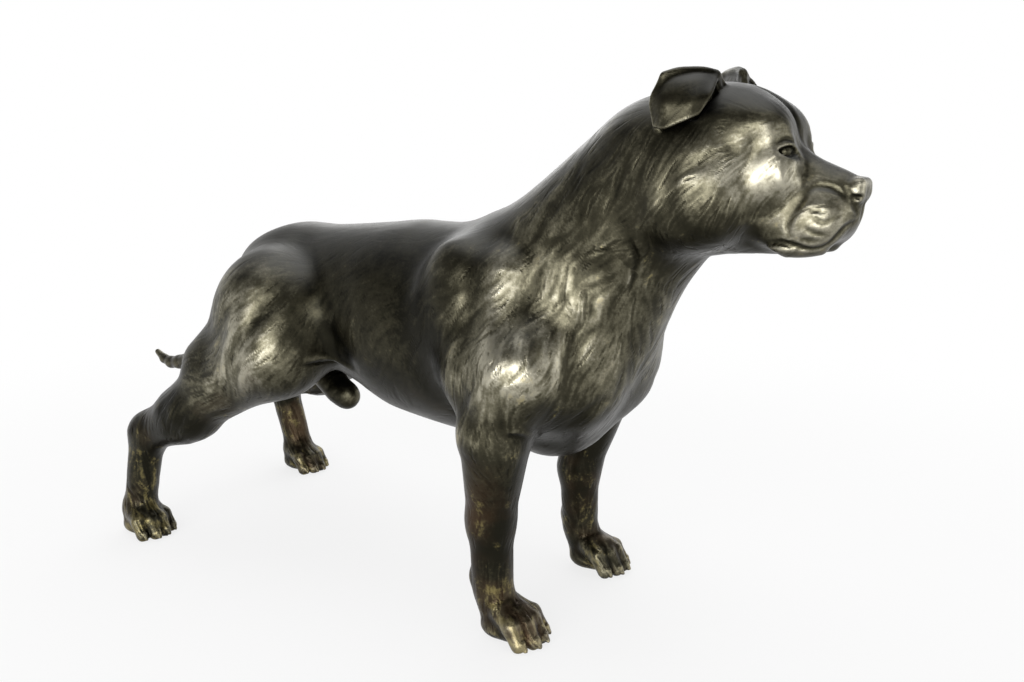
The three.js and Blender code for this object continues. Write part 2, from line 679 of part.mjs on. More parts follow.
const limbBlock = (seam, room, offset = -HALF_GAP, shift = 0) => blockBeyond(seam, offset, room, shift);

// The statue's surface and its cavity

const coreForms = [
  ...trunkForms(),
  ...neckForms(),
  ...bothSides(shoulderForms),
  ...bothSides(thighForms),
  ...headForms(),
];
const allForms = [
  ...trunkForms(),
  ...neckForms(),
  ...bothSides(shoulderForms),
  ...bothSides(thighForms),
  ...bothSides(forelegForms),
  ...bothSides(hindlegForms),
  ...tailForms(),
  ...sheathForms(),
  ...headForms(),
];
const skin = field(allForms);
const core = field(coreForms);

const MARGIN = 30;
const [rearEnd, , tailFoot] = sub(TAIL_END, [TAIL_TIP_RADIUS, 0, TAIL_TIP_RISE]);
const frontEnd = NOSE[0] + 12;
const topEnd = SKULL[2] + SKULL_HALF_HEIGHT;
const chestSide = ELBOW[1] + SHOULDER_RADIUS;

const trunkSurface = facet(skin, [
  gridLines(RUMP_X - 170, [[TAIL_ROOT[0] + 20, TRUNK_STEP[0] / 2], [NECK_TOP[0] + 75, TRUNK_STEP[0]]]),
  gridLines(-chestSide - 60, [[chestSide + 60, TRUNK_STEP[1]]]),
  gridLines(80, [[topEnd, TRUNK_STEP[2]]]),
]);
const cavitySurface = facet(core, [
  gridLines(RUMP_X - 140, [[frontEnd + MARGIN, CAVITY_STEP[0]]]),
  gridLines(-chestSide - MARGIN, [[chestSide + MARGIN, CAVITY_STEP[1]]]),
  gridLines(120, [[topEnd + MARGIN, CAVITY_STEP[2]]]),
], -WALL);
const headSurface = facet(skin, [
  gridLines(NECK_BASE[0] - 20, [[SKULL[0] - 10, NECK_STEP], [frontEnd + 15, FACE_STEP]]),
  gridLines(-112, [[-64, NECK_STEP], [64, FACE_STEP], [112, NECK_STEP]]),
  gridLines(NECK_BASE[2] - 60, [[MUZZLE[2] - 64, NECK_STEP], [topEnd + 16, FACE_STEP]]),
]);

const cavity = solidOf(cavitySurface);
const trunk = solidOf(trunkSurface);

// Inner pieces

// A ring that lines the cavity across a seam
function sleeveSolid(seam, thickness) {
  const outer = solidOf(swollen(cavitySurface, -SEAM_GAP));
  const inner = solidOf(swollen(cavitySurface, -SEAM_GAP - SLEEVE_WALL));
  return outer.intersect(slabAt(seam, thickness)).subtract(inner);
}

function legSleeveSolid(seam) {
  const half = scaled(seam.normal, LEG_SLEEVE_LENGTH / 2);
  const start = sub(seam.point, half);
  const end = add(seam.point, half);
  const over = seam.normal;
  const tube = rod(start, end, LEG_BORE_RADIUS - SEAM_GAP);
  return tube.subtract(rod(sub(start, over), add(end, over), LEG_BORE_RADIUS - SEAM_GAP - LEG_SLEEVE_WALL));
}

// A dowel and the hole that it sits in, centred on a seam
function dowel(seam, radius, dowelLength) {
  const half = scaled(seam.normal, dowelLength / 2);
  const spare = scaled(seam.normal, SEAM_GAP);
  const start = sub(seam.point, half);
  const end = add(seam.point, half);
  return {
    solid: rod(start, end, radius),
    hole: rod(sub(start, spare), add(end, spare), radius + SEAM_GAP),
  };
}

const tailDowel = dowel(tailSeam, TAIL_DOWEL_RADIUS, TAIL_DOWEL_LENGTH);
const sheathDowel = dowel(sheathSeam, SHEATH_DOWEL_RADIUS, SHEATH_DOWEL_LENGTH);
const earSeam = (side) => ({
  point: onSide(add(EAR, [6, -23, 2]), side),
  normal: unit(onSide([2, 5, 12], side)),
});
const earDowels = Object.fromEntries(Object.entries(SIDES).map(([name, side]) => (
  [name, dowel(earSeam(side), EAR_DOWEL_RADIUS, EAR_DOWEL_LENGTH)]
)));

// Castings

const forelegBores = Object.fromEntries(Object.entries(SIDES).map(([name, side]) => {
  const { point } = forelegSeam(side);
  const along = (height) => [point[0], point[1], height];
  return [name, rod(along(ELBOW[2]), along(FORELEG_BORE_FOOT), LEG_BORE_RADIUS)];
}));
const hindlegBores = Object.fromEntries(Object.entries(SIDES).map(([name, side]) => (
  [name, rod(onSide(calfStart(), side), onSide(calfEnd(side), side), LEG_BORE_RADIUS)]
)));

function forequarter() {
  return Object.entries(SIDES).reduce((solid, [name, side]) => (
    solid.subtract(limbBlock(forelegSeam(side), FORELEG_ROOM)).subtract(forelegBores[name])
  ), trunk.intersect(before(neckSeam)).intersect(before(barrelSeam)).subtract(cavity));
}

function hindquarter() {
  const body = trunk.intersect(beyond(barrelSeam)).subtract(cavity)
    .subtract(limbBlock(tailSeam, TAIL_ROOM)).subtract(tailDowel.hole)
    .subtract(limbBlock(sheathSeam, SHEATH_ROOM)).subtract(sheathDowel.hole);
  return Object.entries(SIDES).reduce((solid, [name, side]) => (
    solid.subtract(limbBlock(hindlegSeam(side), HINDLEG_ROOM, -HALF_GAP, HINDLEG_ROOM_SHIFT * side))
      .subtract(hindlegBores[name])
  ), body);
}

function head() {
  const solid = solidOf(headSurface).intersect(beyond(neckSeam)).subtract(cavity);
  return solid.subtract(earDowels.right.hole).subtract(earDowels.left.hole);
}

const ground = blockBeyond({ point: [0, 0, 0], normal: [0, 0, -1] }, 0, [WHOLE, WHOLE, WHOLE]);

function foreleg(name) {
  const side = SIDES[name];
  const ankle = foreAnkle(side);
  const centre = ankle[1] * side;
  const surface = facet(skin, [
    gridLines(ankle[0] - 60, [[ankle[0] - 30, LIMB_STEP], [ankle[0] + 72, PAW_STEP]]),
    gridLines(centre - 54, [[centre + 54, PAW_STEP]]),
    gridLines(-18, [[42, PAW_STEP], [FORELEG_SEAM_HEIGHT + 3 * SHAFT_STEP, SHAFT_STEP]]),
  ]);
  return solidOf(surface).intersect(limbBlock(forelegSeam(side), FORELEG_ROOM, HALF_GAP))
    .subtract(forelegBores[name]).subtract(ground);
}

function hindleg(name) {
  const side = SIDES[name];
  const ankle = hindAnkle(side);
  const centre = ankle[1] * side;
  const [low, high] = side > 0 ? [40, 196] : [-196, -40];
  const surface = facet(skin, [
    gridLines(ankle[0] - 40, [[ankle[0] + 64, PAW_STEP], [STIFLE[0] + 20, SHAFT_STEP]]),
    gridLines(low, [[centre - 36, LIMB_STEP], [centre + 36, PAW_STEP], [high, LIMB_STEP]]),
    gridLines(-18, [[40, PAW_STEP], [STIFLE[2] + 50, SHAFT_STEP]]),
  ]);
  return solidOf(surface)
    .intersect(limbBlock(hindlegSeam(side), HINDLEG_ROOM, HALF_GAP, HINDLEG_ROOM_SHIFT * side))
    .subtract(hindlegBores[name]).subtract(ground);
}

function tail() {
  const surface = facet(skin, [
    gridLines(rearEnd - 9, [[rearEnd + 31, TAIL_TIP_STEP], [TAIL_ROOT[0], TAIL_STEP * 1.6]]),
    gridLines(-35, [[-8, TAIL_STEP], [8, TAIL_TIP_STEP], [35, TAIL_STEP]]),
    gridLines(tailFoot - 12, [[tailFoot + 32, TAIL_TIP_STEP * 1.3], [TAIL_ROOT[2], TAIL_STEP * 1.4]]),
  ]);
  return solidOf(surface).intersect(limbBlock(tailSeam, TAIL_ROOM, HALF_GAP)).subtract(tailDowel.hole);
}

function sheath() {
  const surface = facet(skin, [
    gridLines(SHEATH_ROOT[0] - 40, [[SHEATH_END[0] + 40, TAIL_STEP]]),
    gridLines(-42, [[42, TAIL_STEP]]),
    gridLines(SHEATH_END[2] - 40, [[SHEATH_ROOT[2] + 60, TAIL_STEP]]),
  ]);
  return solidOf(surface).intersect(limbBlock(sheathSeam, SHEATH_ROOM, HALF_GAP)).subtract(sheathDowel.hole);
}

// The ear's foot follows the skull that it is welded to.
function ear(name) {
  const side = SIDES[name];
  const centre = EAR[1] * side;
  const leaf = field(earForms(side));
  const seated = (point) => Math.max(leaf(point), EAR_SEAT_GAP - skin(point));
  const surface = facet(seated, [
    gridLines(EAR[0] - 44, [[EAR[0] + 50, EAR_STEP]]),
    gridLines(centre - 46, [[centre + 46, EAR_STEP]]),
    gridLines(EAR[2] - 44, [[EAR[2] + 40, EAR_STEP]]),
  ]);
  return solidOf(surface).subtract(earDowels[name].hole);
}

// Scene

function meshOf(name, solid, finish) {
  const { vertProperties, triVerts, numProp } = solid.getMesh();
  const geometry = new THREE.BufferGeometry();
  const positions = new Float32Array(vertProperties.length / numProp * 3);
  for (let i = 0; i < positions.length / 3; i += 1) {
    positions.set(vertProperties.subarray(i * numProp, i * numProp + 3), i * 3);
  }
  geometry.setAttribute('position', new THREE.BufferAttribute(positions, 3));
  geometry.setIndex(new THREE.BufferAttribute(Uint32Array.from(triVerts), 1));
  geometry.computeVertexNormals();
  const mesh = new THREE.Mesh(geometry, new THREE.MeshStandardMaterial(finish));
  mesh.name = name;
  return mesh;
}

const statue = new THREE.Group();
statue.add(
  meshOf('head_casting', head(), BRONZE),
  meshOf('forequarter_casting', forequarter(), BRONZE),
  meshOf('hindquarter_casting', hindquarter(), BRONZE),
  meshOf('tail_casting', tail(), BRONZE),
  meshOf('sheath_casting', sheath(), BRONZE),
  meshOf('neck_sleeve', sleeveSolid(neckSeam, NECK_SLEEVE_LENGTH), SLEEVE_METAL),
  meshOf('barrel_sleeve', sleeveSolid(barrelSeam, BARREL_SLEEVE_LENGTH), SLEEVE_METAL),
  meshOf('tail_dowel', tailDowel.solid, SLEEVE_METAL),
  meshOf('sheath_dowel', sheathDowel.solid, SLEEVE_METAL),
);
for (const [name, side] of Object.entries(SIDES)) {
  statue.add(
    meshOf(`ear_${name}`, ear(name), BRONZE),
    meshOf(`foreleg_${name}`, foreleg(name), BRONZE),
    meshOf(`hindleg_${name}`, hindleg(name), BRONZE),
    meshOf(`foreleg_sleeve_${name}`, legSleeveSolid(forelegSeam(side)), SLEEVE_METAL),
    meshOf(`hindleg_sleeve_${name}`, legSleeveSolid(hindlegSeam(side)), SLEEVE_METAL),
    meshOf(`ear_dowel_${name}`, earDowels[name].solid, SLEEVE_METAL),
  );
}

// Sets the middle of the bounding box over the origin
function centreOverOrigin(group) {
  const middle = new THREE.Box3().setFromObject(group).getCenter(new THREE.Vector3());
  group.position.set(-middle.x, -middle.y, 0);
}

centreOverOrigin(statue);

export default statue;
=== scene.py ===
"""Looks of a life-size garden bronze: a standing short-haired dog, hollow cast in sections.

Sizes are in millimetres, in the anatomy's own frame: the dog looks along +X, +Y is its left side and
+Z is up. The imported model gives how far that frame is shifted, and meshes are made in metres.
"""
import logging
import math
from collections.abc import Callable, Iterable, Sequence
from dataclasses import dataclass, field, replace
from enum import Enum
from functools import cached_property

import bpy
import numpy as np
from mathutils import Matrix, Vector


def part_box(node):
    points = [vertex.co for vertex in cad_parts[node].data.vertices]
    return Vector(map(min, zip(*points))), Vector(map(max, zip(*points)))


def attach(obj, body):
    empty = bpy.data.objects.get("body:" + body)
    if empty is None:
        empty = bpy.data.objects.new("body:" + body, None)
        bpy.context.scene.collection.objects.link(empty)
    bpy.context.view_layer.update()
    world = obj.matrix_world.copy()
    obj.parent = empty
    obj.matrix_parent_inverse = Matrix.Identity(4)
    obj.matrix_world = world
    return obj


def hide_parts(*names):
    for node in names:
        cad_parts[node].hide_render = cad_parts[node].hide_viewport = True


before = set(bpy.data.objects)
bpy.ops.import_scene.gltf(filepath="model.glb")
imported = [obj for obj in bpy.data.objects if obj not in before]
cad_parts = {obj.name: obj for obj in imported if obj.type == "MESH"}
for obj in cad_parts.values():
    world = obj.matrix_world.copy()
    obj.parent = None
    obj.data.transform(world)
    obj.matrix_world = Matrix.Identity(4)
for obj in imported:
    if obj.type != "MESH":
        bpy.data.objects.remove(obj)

log = logging.getLogger("bronze_dog")

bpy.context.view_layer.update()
MILLIMETRE = 0.001
FAR = 1.0e4
BELL_SLOPE = 1.1283
BELL_BEND = 0.1009

Point = tuple[float, float, float]


class Side(Enum):
    """A side of the dog, by the sign of Y."""

    RIGHT = -1
    LEFT = 1

    @property
    def word(self) -> str:
        """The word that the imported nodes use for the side."""
        return self.name.lower()


def moved(point: Point, x: float = 0.0, y: float = 0.0, z: float = 0.0) -> Point:
    """A point, moved by an offset."""
    return (point[0] + x, point[1] + y, point[2] + z)


def between(start: Point, end: Point, share: float) -> Point:
    """The point at a share of the way from start to end."""
    return tuple(a + (b - a) * share for a, b in zip(start, end))


def on_side(point: Point, side: Side) -> Point:
    """A point that is given for the left side, placed on a side."""
    return (point[0], point[1] * side.value, point[2])


def unit(vector: Sequence[float]) -> np.ndarray:
    """A vector scaled to length one."""
    array = np.asarray(vector, float)
    return array / np.linalg.norm(array)


def dots(a: np.ndarray, b: np.ndarray) -> np.ndarray:
    """The dot product of each row of an array with the same row of another."""
    return np.einsum("ij,ij->i", a, b)


def places_in(points: np.ndarray, low: np.ndarray, high: np.ndarray) -> np.ndarray:
    """The places, in their array, of the points that lie in a box."""
    return np.flatnonzero(np.all((points > low) & (points < high), axis=1))


def smooth_step(low: float, high: float, values: np.ndarray) -> np.ndarray:
    """Rises smoothly from 0 at low to 1 at high."""
    share = np.clip((values - low) / (high - low), 0, 1)
    return share * share * (3 - 2 * share)


def bell_sum(values: np.ndarray) -> np.ndarray:
    """The share of half a bell curve between its middle and each value, below 0 on its lower side."""
    return np.tanh(BELL_SLOPE * values + BELL_BEND * values**3)


def melted(a: np.ndarray, b: np.ndarray, blend: float) -> np.ndarray:
    """Two distances melted together over the width of a blend."""
    overlap = np.maximum(blend - np.abs(a - b), 0) / blend
    return np.minimum(a, b) - overlap * overlap * blend / 4


@dataclass(frozen=True)
class Form:
    """A shape with a signed distance, which melts into the forms before it or is cut out of them."""

    blend: float = 30.0
    is_hollow: bool = False

    def distance(self, points: np.ndarray) -> np.ndarray:
        """The signed distance from points to the form.

        Args:
            points: The points to measure from.

        Returns:
            The distances, negative inside.
        """
        raise NotImplementedError

    def ball(self) -> tuple[np.ndarray, float]:
        """Centre and radius of a ball that holds the form."""
        raise NotImplementedError

    def mirrored(self) -> "Form":
        """The same form on the other side of the dog."""
        raise NotImplementedError

    def join(self, reached: np.ndarray, points: np.ndarray) -> None:
        """Joins the form to the distances reached so far.

        Args:
            reached: The distances of the forms before it, which are changed in place.
            points: The points that they belong to.
        """
        centre, radius = self.ball()
        offset = points - centre
        limit = radius + self.blend + Skin.BAND
        near = np.flatnonzero(dots(offset, offset) < limit * limit)
        if not len(near):
            return
        own = self.distance(points[near])
        before = reached[near]
        if self.is_hollow:
            reached[near] = -melted(-before, own, self.blend)
        else:
            reached[near] = melted(before, own, self.blend)


@dataclass(frozen=True)
class Bone(Form):
    """A round cone with a ball at each end."""

    start: Point = (0, 0, 0)
    end: Point = (1, 0, 0)
    start_radius: float = 1.0
    end_radius: float = 1.0

    def distance(self, points: np.ndarray) -> np.ndarray:
        """The signed distance from points to the bone.

        Args:
            points: The points to measure from.

        Returns:
            The distances, negative inside.
        """
        start = np.asarray(self.start, np.float32)
        axis = np.asarray(self.end, np.float32) - start
        squared = float(axis @ axis)
        taper = self.start_radius - self.end_radius
        slope = squared - taper * taper
        offset = points - start
        along = offset @ axis
        beyond = along - squared
        across = offset * squared - along[:, None] * axis
        across_squared = dots(across, across)
        limit = math.copysign(taper * taper, taper) * across_squared
        past_end = np.sign(beyond) * slope * beyond * beyond * squared > limit
        past_start = np.sign(along) * slope * along * along * squared < limit
        at_end = np.sqrt(across_squared + beyond * beyond * squared) / squared - self.end_radius
        at_start = np.sqrt(across_squared + along * along * squared) / squared - self.start_radius
        at_side = (np.sqrt(across_squared * slope / squared) + along * taper) / squared - self.start_radius
        return np.where(past_end, at_end, np.where(past_start, at_start, at_side))

    def ball(self) -> tuple[np.ndarray, float]:
        """Centre and radius of a ball that holds the bone."""
        ends = np.array([self.start, self.end], np.float32)
        reach = float(np.linalg.norm(ends[1] - ends[0])) / 2 + max(self.start_radius, self.end_radius)
        return ends.mean(0), reach

    def mirrored(self) -> "Bone":
        """The same bone on the other side of the dog."""
        start, end = (on_side(p, Side.RIGHT) for p in (self.start, self.end))
        return replace(self, start=start, end=end)


@dataclass(frozen=True)
class Muscle(Form):
    """An ellipsoid, rolled about X, then pitched nose down about Y, then turned left about Z."""

    centre: Point = (0, 0, 0)
    half: Point = (1, 1, 1)
    yaw: float = 0.0
    pitch: float = 0.0
    roll: float = 0.0

    def distance(self, points: np.ndarray) -> np.ndarray:
        """The signed distance from points to the muscle, true near its skin.

        Args:
            points: The points to measure from.

        Returns:
            The distances, negative inside.
        """
        yaw, pitch, roll = (math.radians(angle) for angle in (self.yaw, self.pitch, self.roll))
        turn = Matrix.Rotation(yaw, 3, "Z") @ Matrix.Rotation(pitch, 3, "Y") @ Matrix.Rotation(roll, 3, "X")
        local = (points - np.asarray(self.centre, np.float32)) @ np.array(turn, np.float32)
        half = np.asarray(self.half, np.float32)
        scaled = local / half
        reach = np.sqrt(dots(scaled, scaled))
        steeper = scaled / half
        steepness = np.sqrt(dots(steeper, steeper))
        return reach * (reach - 1) / np.maximum(steepness, 1e-6)

    def ball(self) -> tuple[np.ndarray, float]:
        """Centre and radius of a ball that holds the muscle."""
        return np.asarray(self.centre, np.float32), max(self.half)

    def mirrored(self) -> "Muscle":
        """The same muscle on the other side of the dog."""
        return replace(self, centre=on_side(self.centre, Side.RIGHT), yaw=-self.yaw, roll=-self.roll)


def curve_through(points: Sequence[Point], spacing: float) -> np.ndarray:
    """A smooth curve through points.

    Args:
        points: The points to pass through, in order.
        spacing: About how far apart the curve's own points lie.

    Returns:
        The curve's points, one row each.
    """
    knots = np.asarray(points, float)
    padded = np.vstack([2 * knots[0] - knots[1], knots, 2 * knots[-1] - knots[-2]])
    rows = []
    for a, b, c, d in zip(padded, padded[1:], padded[2:], padded[3:]):
        count = max(2, int(np.linalg.norm(c - b) / spacing))
        t = np.linspace(0, 1, count, endpoint=False)[:, None]
        rows.append(0.5 * (2 * b + (c - a) * t + (2 * a - 5 * b + 4 * c - d) * t**2
                           + (3 * b - a - 3 * c + d) * t**3))
    return np.vstack([*rows, knots[-1:]])


@dataclass(frozen=True)
class Stroke:
    """A sculptor's tool mark: a groove, or a ridge where its depth is negative, along a curve on the skin."""

    path: tuple[Point, ...]
    width: float
    depth: float
    fade: float = 0.25
    is_paired: bool = True

    SPACING = 2.0
    REACH = 2.6

    def sides(self) -> list["Stroke"]:
        """The stroke itself, and its twin on the other side where it has one."""
        if not self.is_paired:
            return [self]
        return [self, replace(self, path=tuple(on_side(p, Side.RIGHT) for p in self.path))]

    def laid_on(self, skin: "Skin") -> "Stroke":
        """The same stroke with its curve settled onto a skin."""
        settled = skin.settled(curve_through(self.path, self.SPACING * 2).astype(np.float32), rounds=4)
        return replace(self, path=tuple(tuple(p) for p in settled.tolist()))

    def relief(self, points: np.ndarray) -> tuple[np.ndarray, np.ndarray]:
        """How far the stroke lowers the skin.

        Args:
            points: The points to look at.

        Returns:
            The places of the points that the stroke reaches, and its depth there.
        """
        curve = np.asarray(self.path, np.float32)
        reach = self.width * self.REACH
        low, high = curve.min(0) - reach, curve.max(0) + reach
        near = places_in(points, low, high)
        if not len(near):
            return near, np.zeros(0, np.float32)
        at = points[near]
        profile = np.zeros(len(at), np.float32)
        legs = len(curve) - 1
        for i, (a, b) in enumerate(zip(curve, curve[1:])):
            axis = b - a
            length = max(float(np.linalg.norm(axis)), 1e-3)
            offset = at - a
            along = offset @ (axis / length)
            apart = np.maximum(dots(offset, offset) - along**2, 0)
            close = np.flatnonzero((apart < reach**2) & (along > -reach) & (along < length + reach))
            along, apart = along[close], apart[close]
            middle = (i + 0.5) / legs
            taper = min(1.0, min(middle, 1 - middle) / self.fade)
            span = bell_sum((length - along) / self.width) + bell_sum(along / self.width)
            profile[close] += taper * 0.5 * span * np.exp(-apart / self.width**2)
        return near, self.depth * profile


class Skin:
    """The surface of a group of forms, with the sculptor's strokes worked into it."""

    BAND = 26.0
    PROBE = 0.12
    MARGIN = 60.0

    def __init__(self, forms: Iterable[Form], strokes: Iterable[Stroke] = ()) -> None:
        """Lays the strokes on the forms' own surface.

        Args:
            forms: The forms, in the order in which they melt together.
            strokes: The strokes, each given for the left side.
        """
        self.forms = list(forms)
        self.strokes: list[Stroke] = []
        self.strokes = [twin.laid_on(self) for stroke in strokes for twin in stroke.sides()]

    def distance(self, points: np.ndarray) -> np.ndarray:
        """The signed distance from points to the skin.

        Args:
            points: The points to measure from.

        Returns:
            The distances, negative inside.
        """
        reached = np.full(len(points), FAR, np.float32)
        for form in self.forms:
            form.join(reached, points)
        for stroke in self.strokes:
            near, depth = stroke.relief(points)
            reached[near] += depth
        return reached

    def slope(self, points: np.ndarray) -> np.ndarray:
        """The direction in which the distance grows.

        Args:
            points: The points to look at.

        Returns:
            The directions, as long as the distance is steep.
        """
        total = np.zeros((len(points), 3), np.float32)
        for corner in ((1, -1, -1), (-1, -1, 1), (-1, 1, -1), (1, 1, 1)):
            way = np.asarray(corner, np.float32)
            total += self.distance(points + way * self.PROBE)[:, None] * way
        return total / (4 * self.PROBE)

    def settled(self, points: np.ndarray, rounds: int = 2, reach: float = FAR) -> np.ndarray:
        """Points stepped down the slope until they lie on the skin.

        Args:
            points: The points to move.
            rounds: How many steps each takes.
            reach: How far a point may go in one step.

        Returns:
            The moved points.
        """
        at = points.copy()
        for _ in range(rounds):
            slope = self.slope(at)
            steepness = np.maximum(dots(slope, slope), 0.1)
            step = slope * (self.distance(at) / steepness)[:, None]
            size = np.linalg.norm(step, axis=1)
            at -= step * np.minimum(1, reach / np.maximum(size, 1e-6))[:, None]
        return at

    def part(self, low: Sequence[float], high: Sequence[float]) -> "Skin":
        """The skin with only what reaches into a box.

        Args:
            low: The box's lowest corner.
            high: Its highest corner.

        Returns:
            The smaller skin.
        """
        centre = (np.asarray(low, float) + high) / 2
        half = (np.asarray(high, float) - low) / 2 + self.MARGIN
        part = Skin([])
        part.forms = [form for form in self.forms
                      if np.all(np.abs(form.ball()[0] - centre) < half + form.ball()[1])]
        part.strokes = [s for s in self.strokes
                        if np.all(np.max(s.path, 0) > low) and np.all(np.min(s.path, 0) < high)]
        return part


@dataclass(frozen=True)
class Seam:
    """A welded seam: a plane, and the room that the limb beyond it takes up."""

    point: Point
    normal: Point
    room: Point | None = None
    shift: float = 0.0
    is_capped: bool = False

    def depth(self, points: np.ndarray) -> np.ndarray:
        """How far points lie beyond the seam."""
        return (points - np.asarray(self.point, np.float32)) @ unit(self.normal).astype(np.float32)

    def holds(self, points: np.ndarray) -> np.ndarray:
        """Whether points lie in the limb's room, on either side of the seam.

        Args:
            points: The points to look at.

        Returns:
            True for each point that does.
        """
        if self.room is None:
            return np.ones(len(points), bool)
        normal = unit(self.normal)
        wide = unit(np.array([0, 1, 0]) - normal * normal[1])
        across = np.cross(normal, wide)
        offset = points - np.asarray(self.point)
        length, across_size, wide_size = self.room
        return ((np.abs(offset @ across) < across_size / 2)
                & (np.abs(offset @ wide - self.shift) < wide_size / 2)
                & (offset @ normal < length))

    @classmethod
    def across(cls, start: Point, end: Point, share: float, room: Point | None = None,
               shift: float = 0.0) -> "Seam":
        """The seam square across a limb, at a share of its length, seen from the limb's start."""
        return cls(between(start, end, share), tuple(unit(np.subtract(end, start))), room, shift)

    def turned(self) -> "Seam":
        """The same seam, seen from beyond it."""
        return replace(self, normal=tuple(-n for n in self.normal), room=None)


@dataclass
class Shell:
    """A mesh in the making: points, and faces as lists of point numbers."""

    points: np.ndarray
    quads: np.ndarray
    others: list[list[int]] = field(default_factory=list)
    rim: list[list[int]] = field(default_factory=list)

    CORNERS = np.array([[i, j, k] for i in (0, 1) for j in (0, 1) for k in (0, 1)])
    HALVINGS = 3
    SLACK = 1.15
    COARSE_SPARE = 4.0
    FINE_SPARE = 1.2

    @classmethod
    def narrow_cells(cls, skin: Skin, low: np.ndarray, high: np.ndarray, step: float,
                     wanted: Callable[[np.ndarray, float], np.ndarray]) -> np.ndarray:
        """The grid cells that the skin passes through, or nearly.

        Args:
            skin: The skin to follow.
            low: The grid's lowest corner.
            high: Its highest corner.
            step: The size of a cell.
            wanted: Says of cell centres, and a cell size, which to keep.

        Returns:
            The cells, as whole numbers of steps from the lowest corner.
        """
        size = step * 2**cls.HALVINGS
        counts = np.ceil((high - low) / size).astype(int)
        cells = np.stack(np.meshgrid(*(np.arange(n) for n in counts), indexing="ij"), -1).reshape(-1, 3)
        for level in range(cls.HALVINGS + 1):
            is_last = level == cls.HALVINGS
            centres = (low + (cells + 0.5) * size).astype(np.float32)
            cells = cells[wanted(centres, size)]
            centres = (low + (cells + 0.5) * size).astype(np.float32)
            spare = cls.FINE_SPARE if is_last else cls.COARSE_SPARE
            cells = cells[np.abs(skin.distance(centres)) < size * cls.SLACK + spare]
            if not is_last:
                cells = (cells[:, None, :] * 2 + cls.CORNERS[None]).reshape(-1, 3)
                size /= 2
        return cells

    @classmethod
    def over(cls, skin: Skin, low: Sequence[float], high: Sequence[float], step: float,
             wanted: Callable[[np.ndarray, float], np.ndarray]) -> "Shell":
        """Nets a skin: one point in each grid cell that it crosses, and a quad across each cut grid edge.

        Args:
            skin: The skin to follow.
            low: The lowest corner of the grid.
            high: Its highest corner.
            step: The size of a cell.
            wanted: Says of cell centres, and a cell size, which to keep.

        Returns:
            The shell, open where cells aren't wanted.
        """
        low, high = (np.asarray(corner, float) for corner in (low, high))
        cells = cls.narrow_cells(skin, low, high, step, wanted)
        span = (cells.max(0) + 3).astype(np.int64)

        def key(places: np.ndarray) -> np.ndarray:
            """One number for each cell or corner, by its place in the grid."""
            return (places[..., 0] * span[1] + places[..., 1]) * span[2] + places[..., 2]

        corner_keys = key(cells[:, None, :] + cls.CORNERS[None])
        unique, inverse = np.unique(corner_keys, return_inverse=True)
        inverse = inverse.reshape(corner_keys.shape)
        places = np.stack([unique // (span[1] * span[2]), unique // span[2] % span[1], unique % span[2]], -1)
        values = skin.distance((low + places * step).astype(np.float32))
        corner_values = values[inverse]
        inside = corner_values < 0
        crossed = inside.any(1) & ~inside.all(1)
        cells, corner_values, inside = cells[crossed], corner_values[crossed], inside[crossed]
        total = np.zeros((len(cells), 3))
        count = np.zeros(len(cells))
        edges = [(a, b) for a in range(8) for b in range(8)
                 if b > a and np.abs(cls.CORNERS[a] - cls.CORNERS[b]).sum() == 1]
        for a, b in edges:
            cut = inside[:, a] != inside[:, b]
            share = corner_values[cut, a] / (corner_values[cut, a] - corner_values[cut, b])
            total[cut] += cls.CORNERS[a] + share[:, None] * (cls.CORNERS[b] - cls.CORNERS[a])
            count[cut] += 1
        points = (low + (cells + total / count[:, None]) * step).astype(np.float32)
        points = skin.settled(points, rounds=2, reach=step * 0.6)
        cell_keys = key(cells)
        order = np.argsort(cell_keys)
        sorted_keys = cell_keys[order]

        def cell_at(places: np.ndarray) -> np.ndarray:
            """The number of the cell at each place, or -1 where there is none.

            Args:
                places: The places, in steps from the lowest corner.

            Returns:
                The cells' numbers.
            """
            wanted_keys = key(places)
            found = np.minimum(np.searchsorted(sorted_keys, wanted_keys), len(sorted_keys) - 1)
            known = (sorted_keys[found] == wanted_keys) & (places >= 0).all(1)
            return np.where(known, order[found], -1)

        quads = []
        for axis in range(3):
            far = 1 << (2 - axis)
            cut = np.flatnonzero(inside[:, 0] != inside[:, far])
            u, v = np.eye(3, dtype=int)[(axis + 1) % 3], np.eye(3, dtype=int)[(axis + 2) % 3]
            base = cells[cut]
            ring = np.stack([cell_at(base - u - v), cell_at(base - v), cell_at(base), cell_at(base - u)], 1)
            starts_outside = ~inside[cut, 0]
            ring[starts_outside] = ring[starts_outside][:, ::-1]
            quads.append(ring[(ring >= 0).all(1)])
        return cls(points, np.concatenate(quads))

    def trim(self, seam: Seam, skin: Skin, wall: float) -> None:
        """Cuts off what lies beyond a seam and turns a rim inward along the cut.

        Args:
            seam: The seam to cut at.
            skin: The skin that the shell follows.
            wall: How far the rim reaches inward.
        """
        depth = seam.depth(self.points)
        centres = self.points[self.quads].mean(1)
        in_room = seam.holds(centres)
        beyond = (depth[self.quads] > 0).all(1) & in_room
        across = (depth[self.quads] > 0).any(1) & ~beyond & in_room
        crossing = [list(face) for face in self.quads[across]]
        self.quads = self.quads[~beyond & ~across]
        added: list[np.ndarray] = []
        cut_point: dict[tuple[int, int], int] = {}

        def point_on(a: int, b: int) -> int:
            """The point where an edge crosses the seam.

            Args:
                a: The point at one end of the edge.
                b: The point at the other.

            Returns:
                The crossing point's number.
            """
            pair = (min(a, b), max(a, b))
            if pair not in cut_point:
                share = depth[pair[0]] / (depth[pair[0]] - depth[pair[1]])
                added.append(self.points[pair[0]] + share * (self.points[pair[1]] - self.points[pair[0]]))
                cut_point[pair] = len(self.points) + len(added) - 1
            return cut_point[pair]

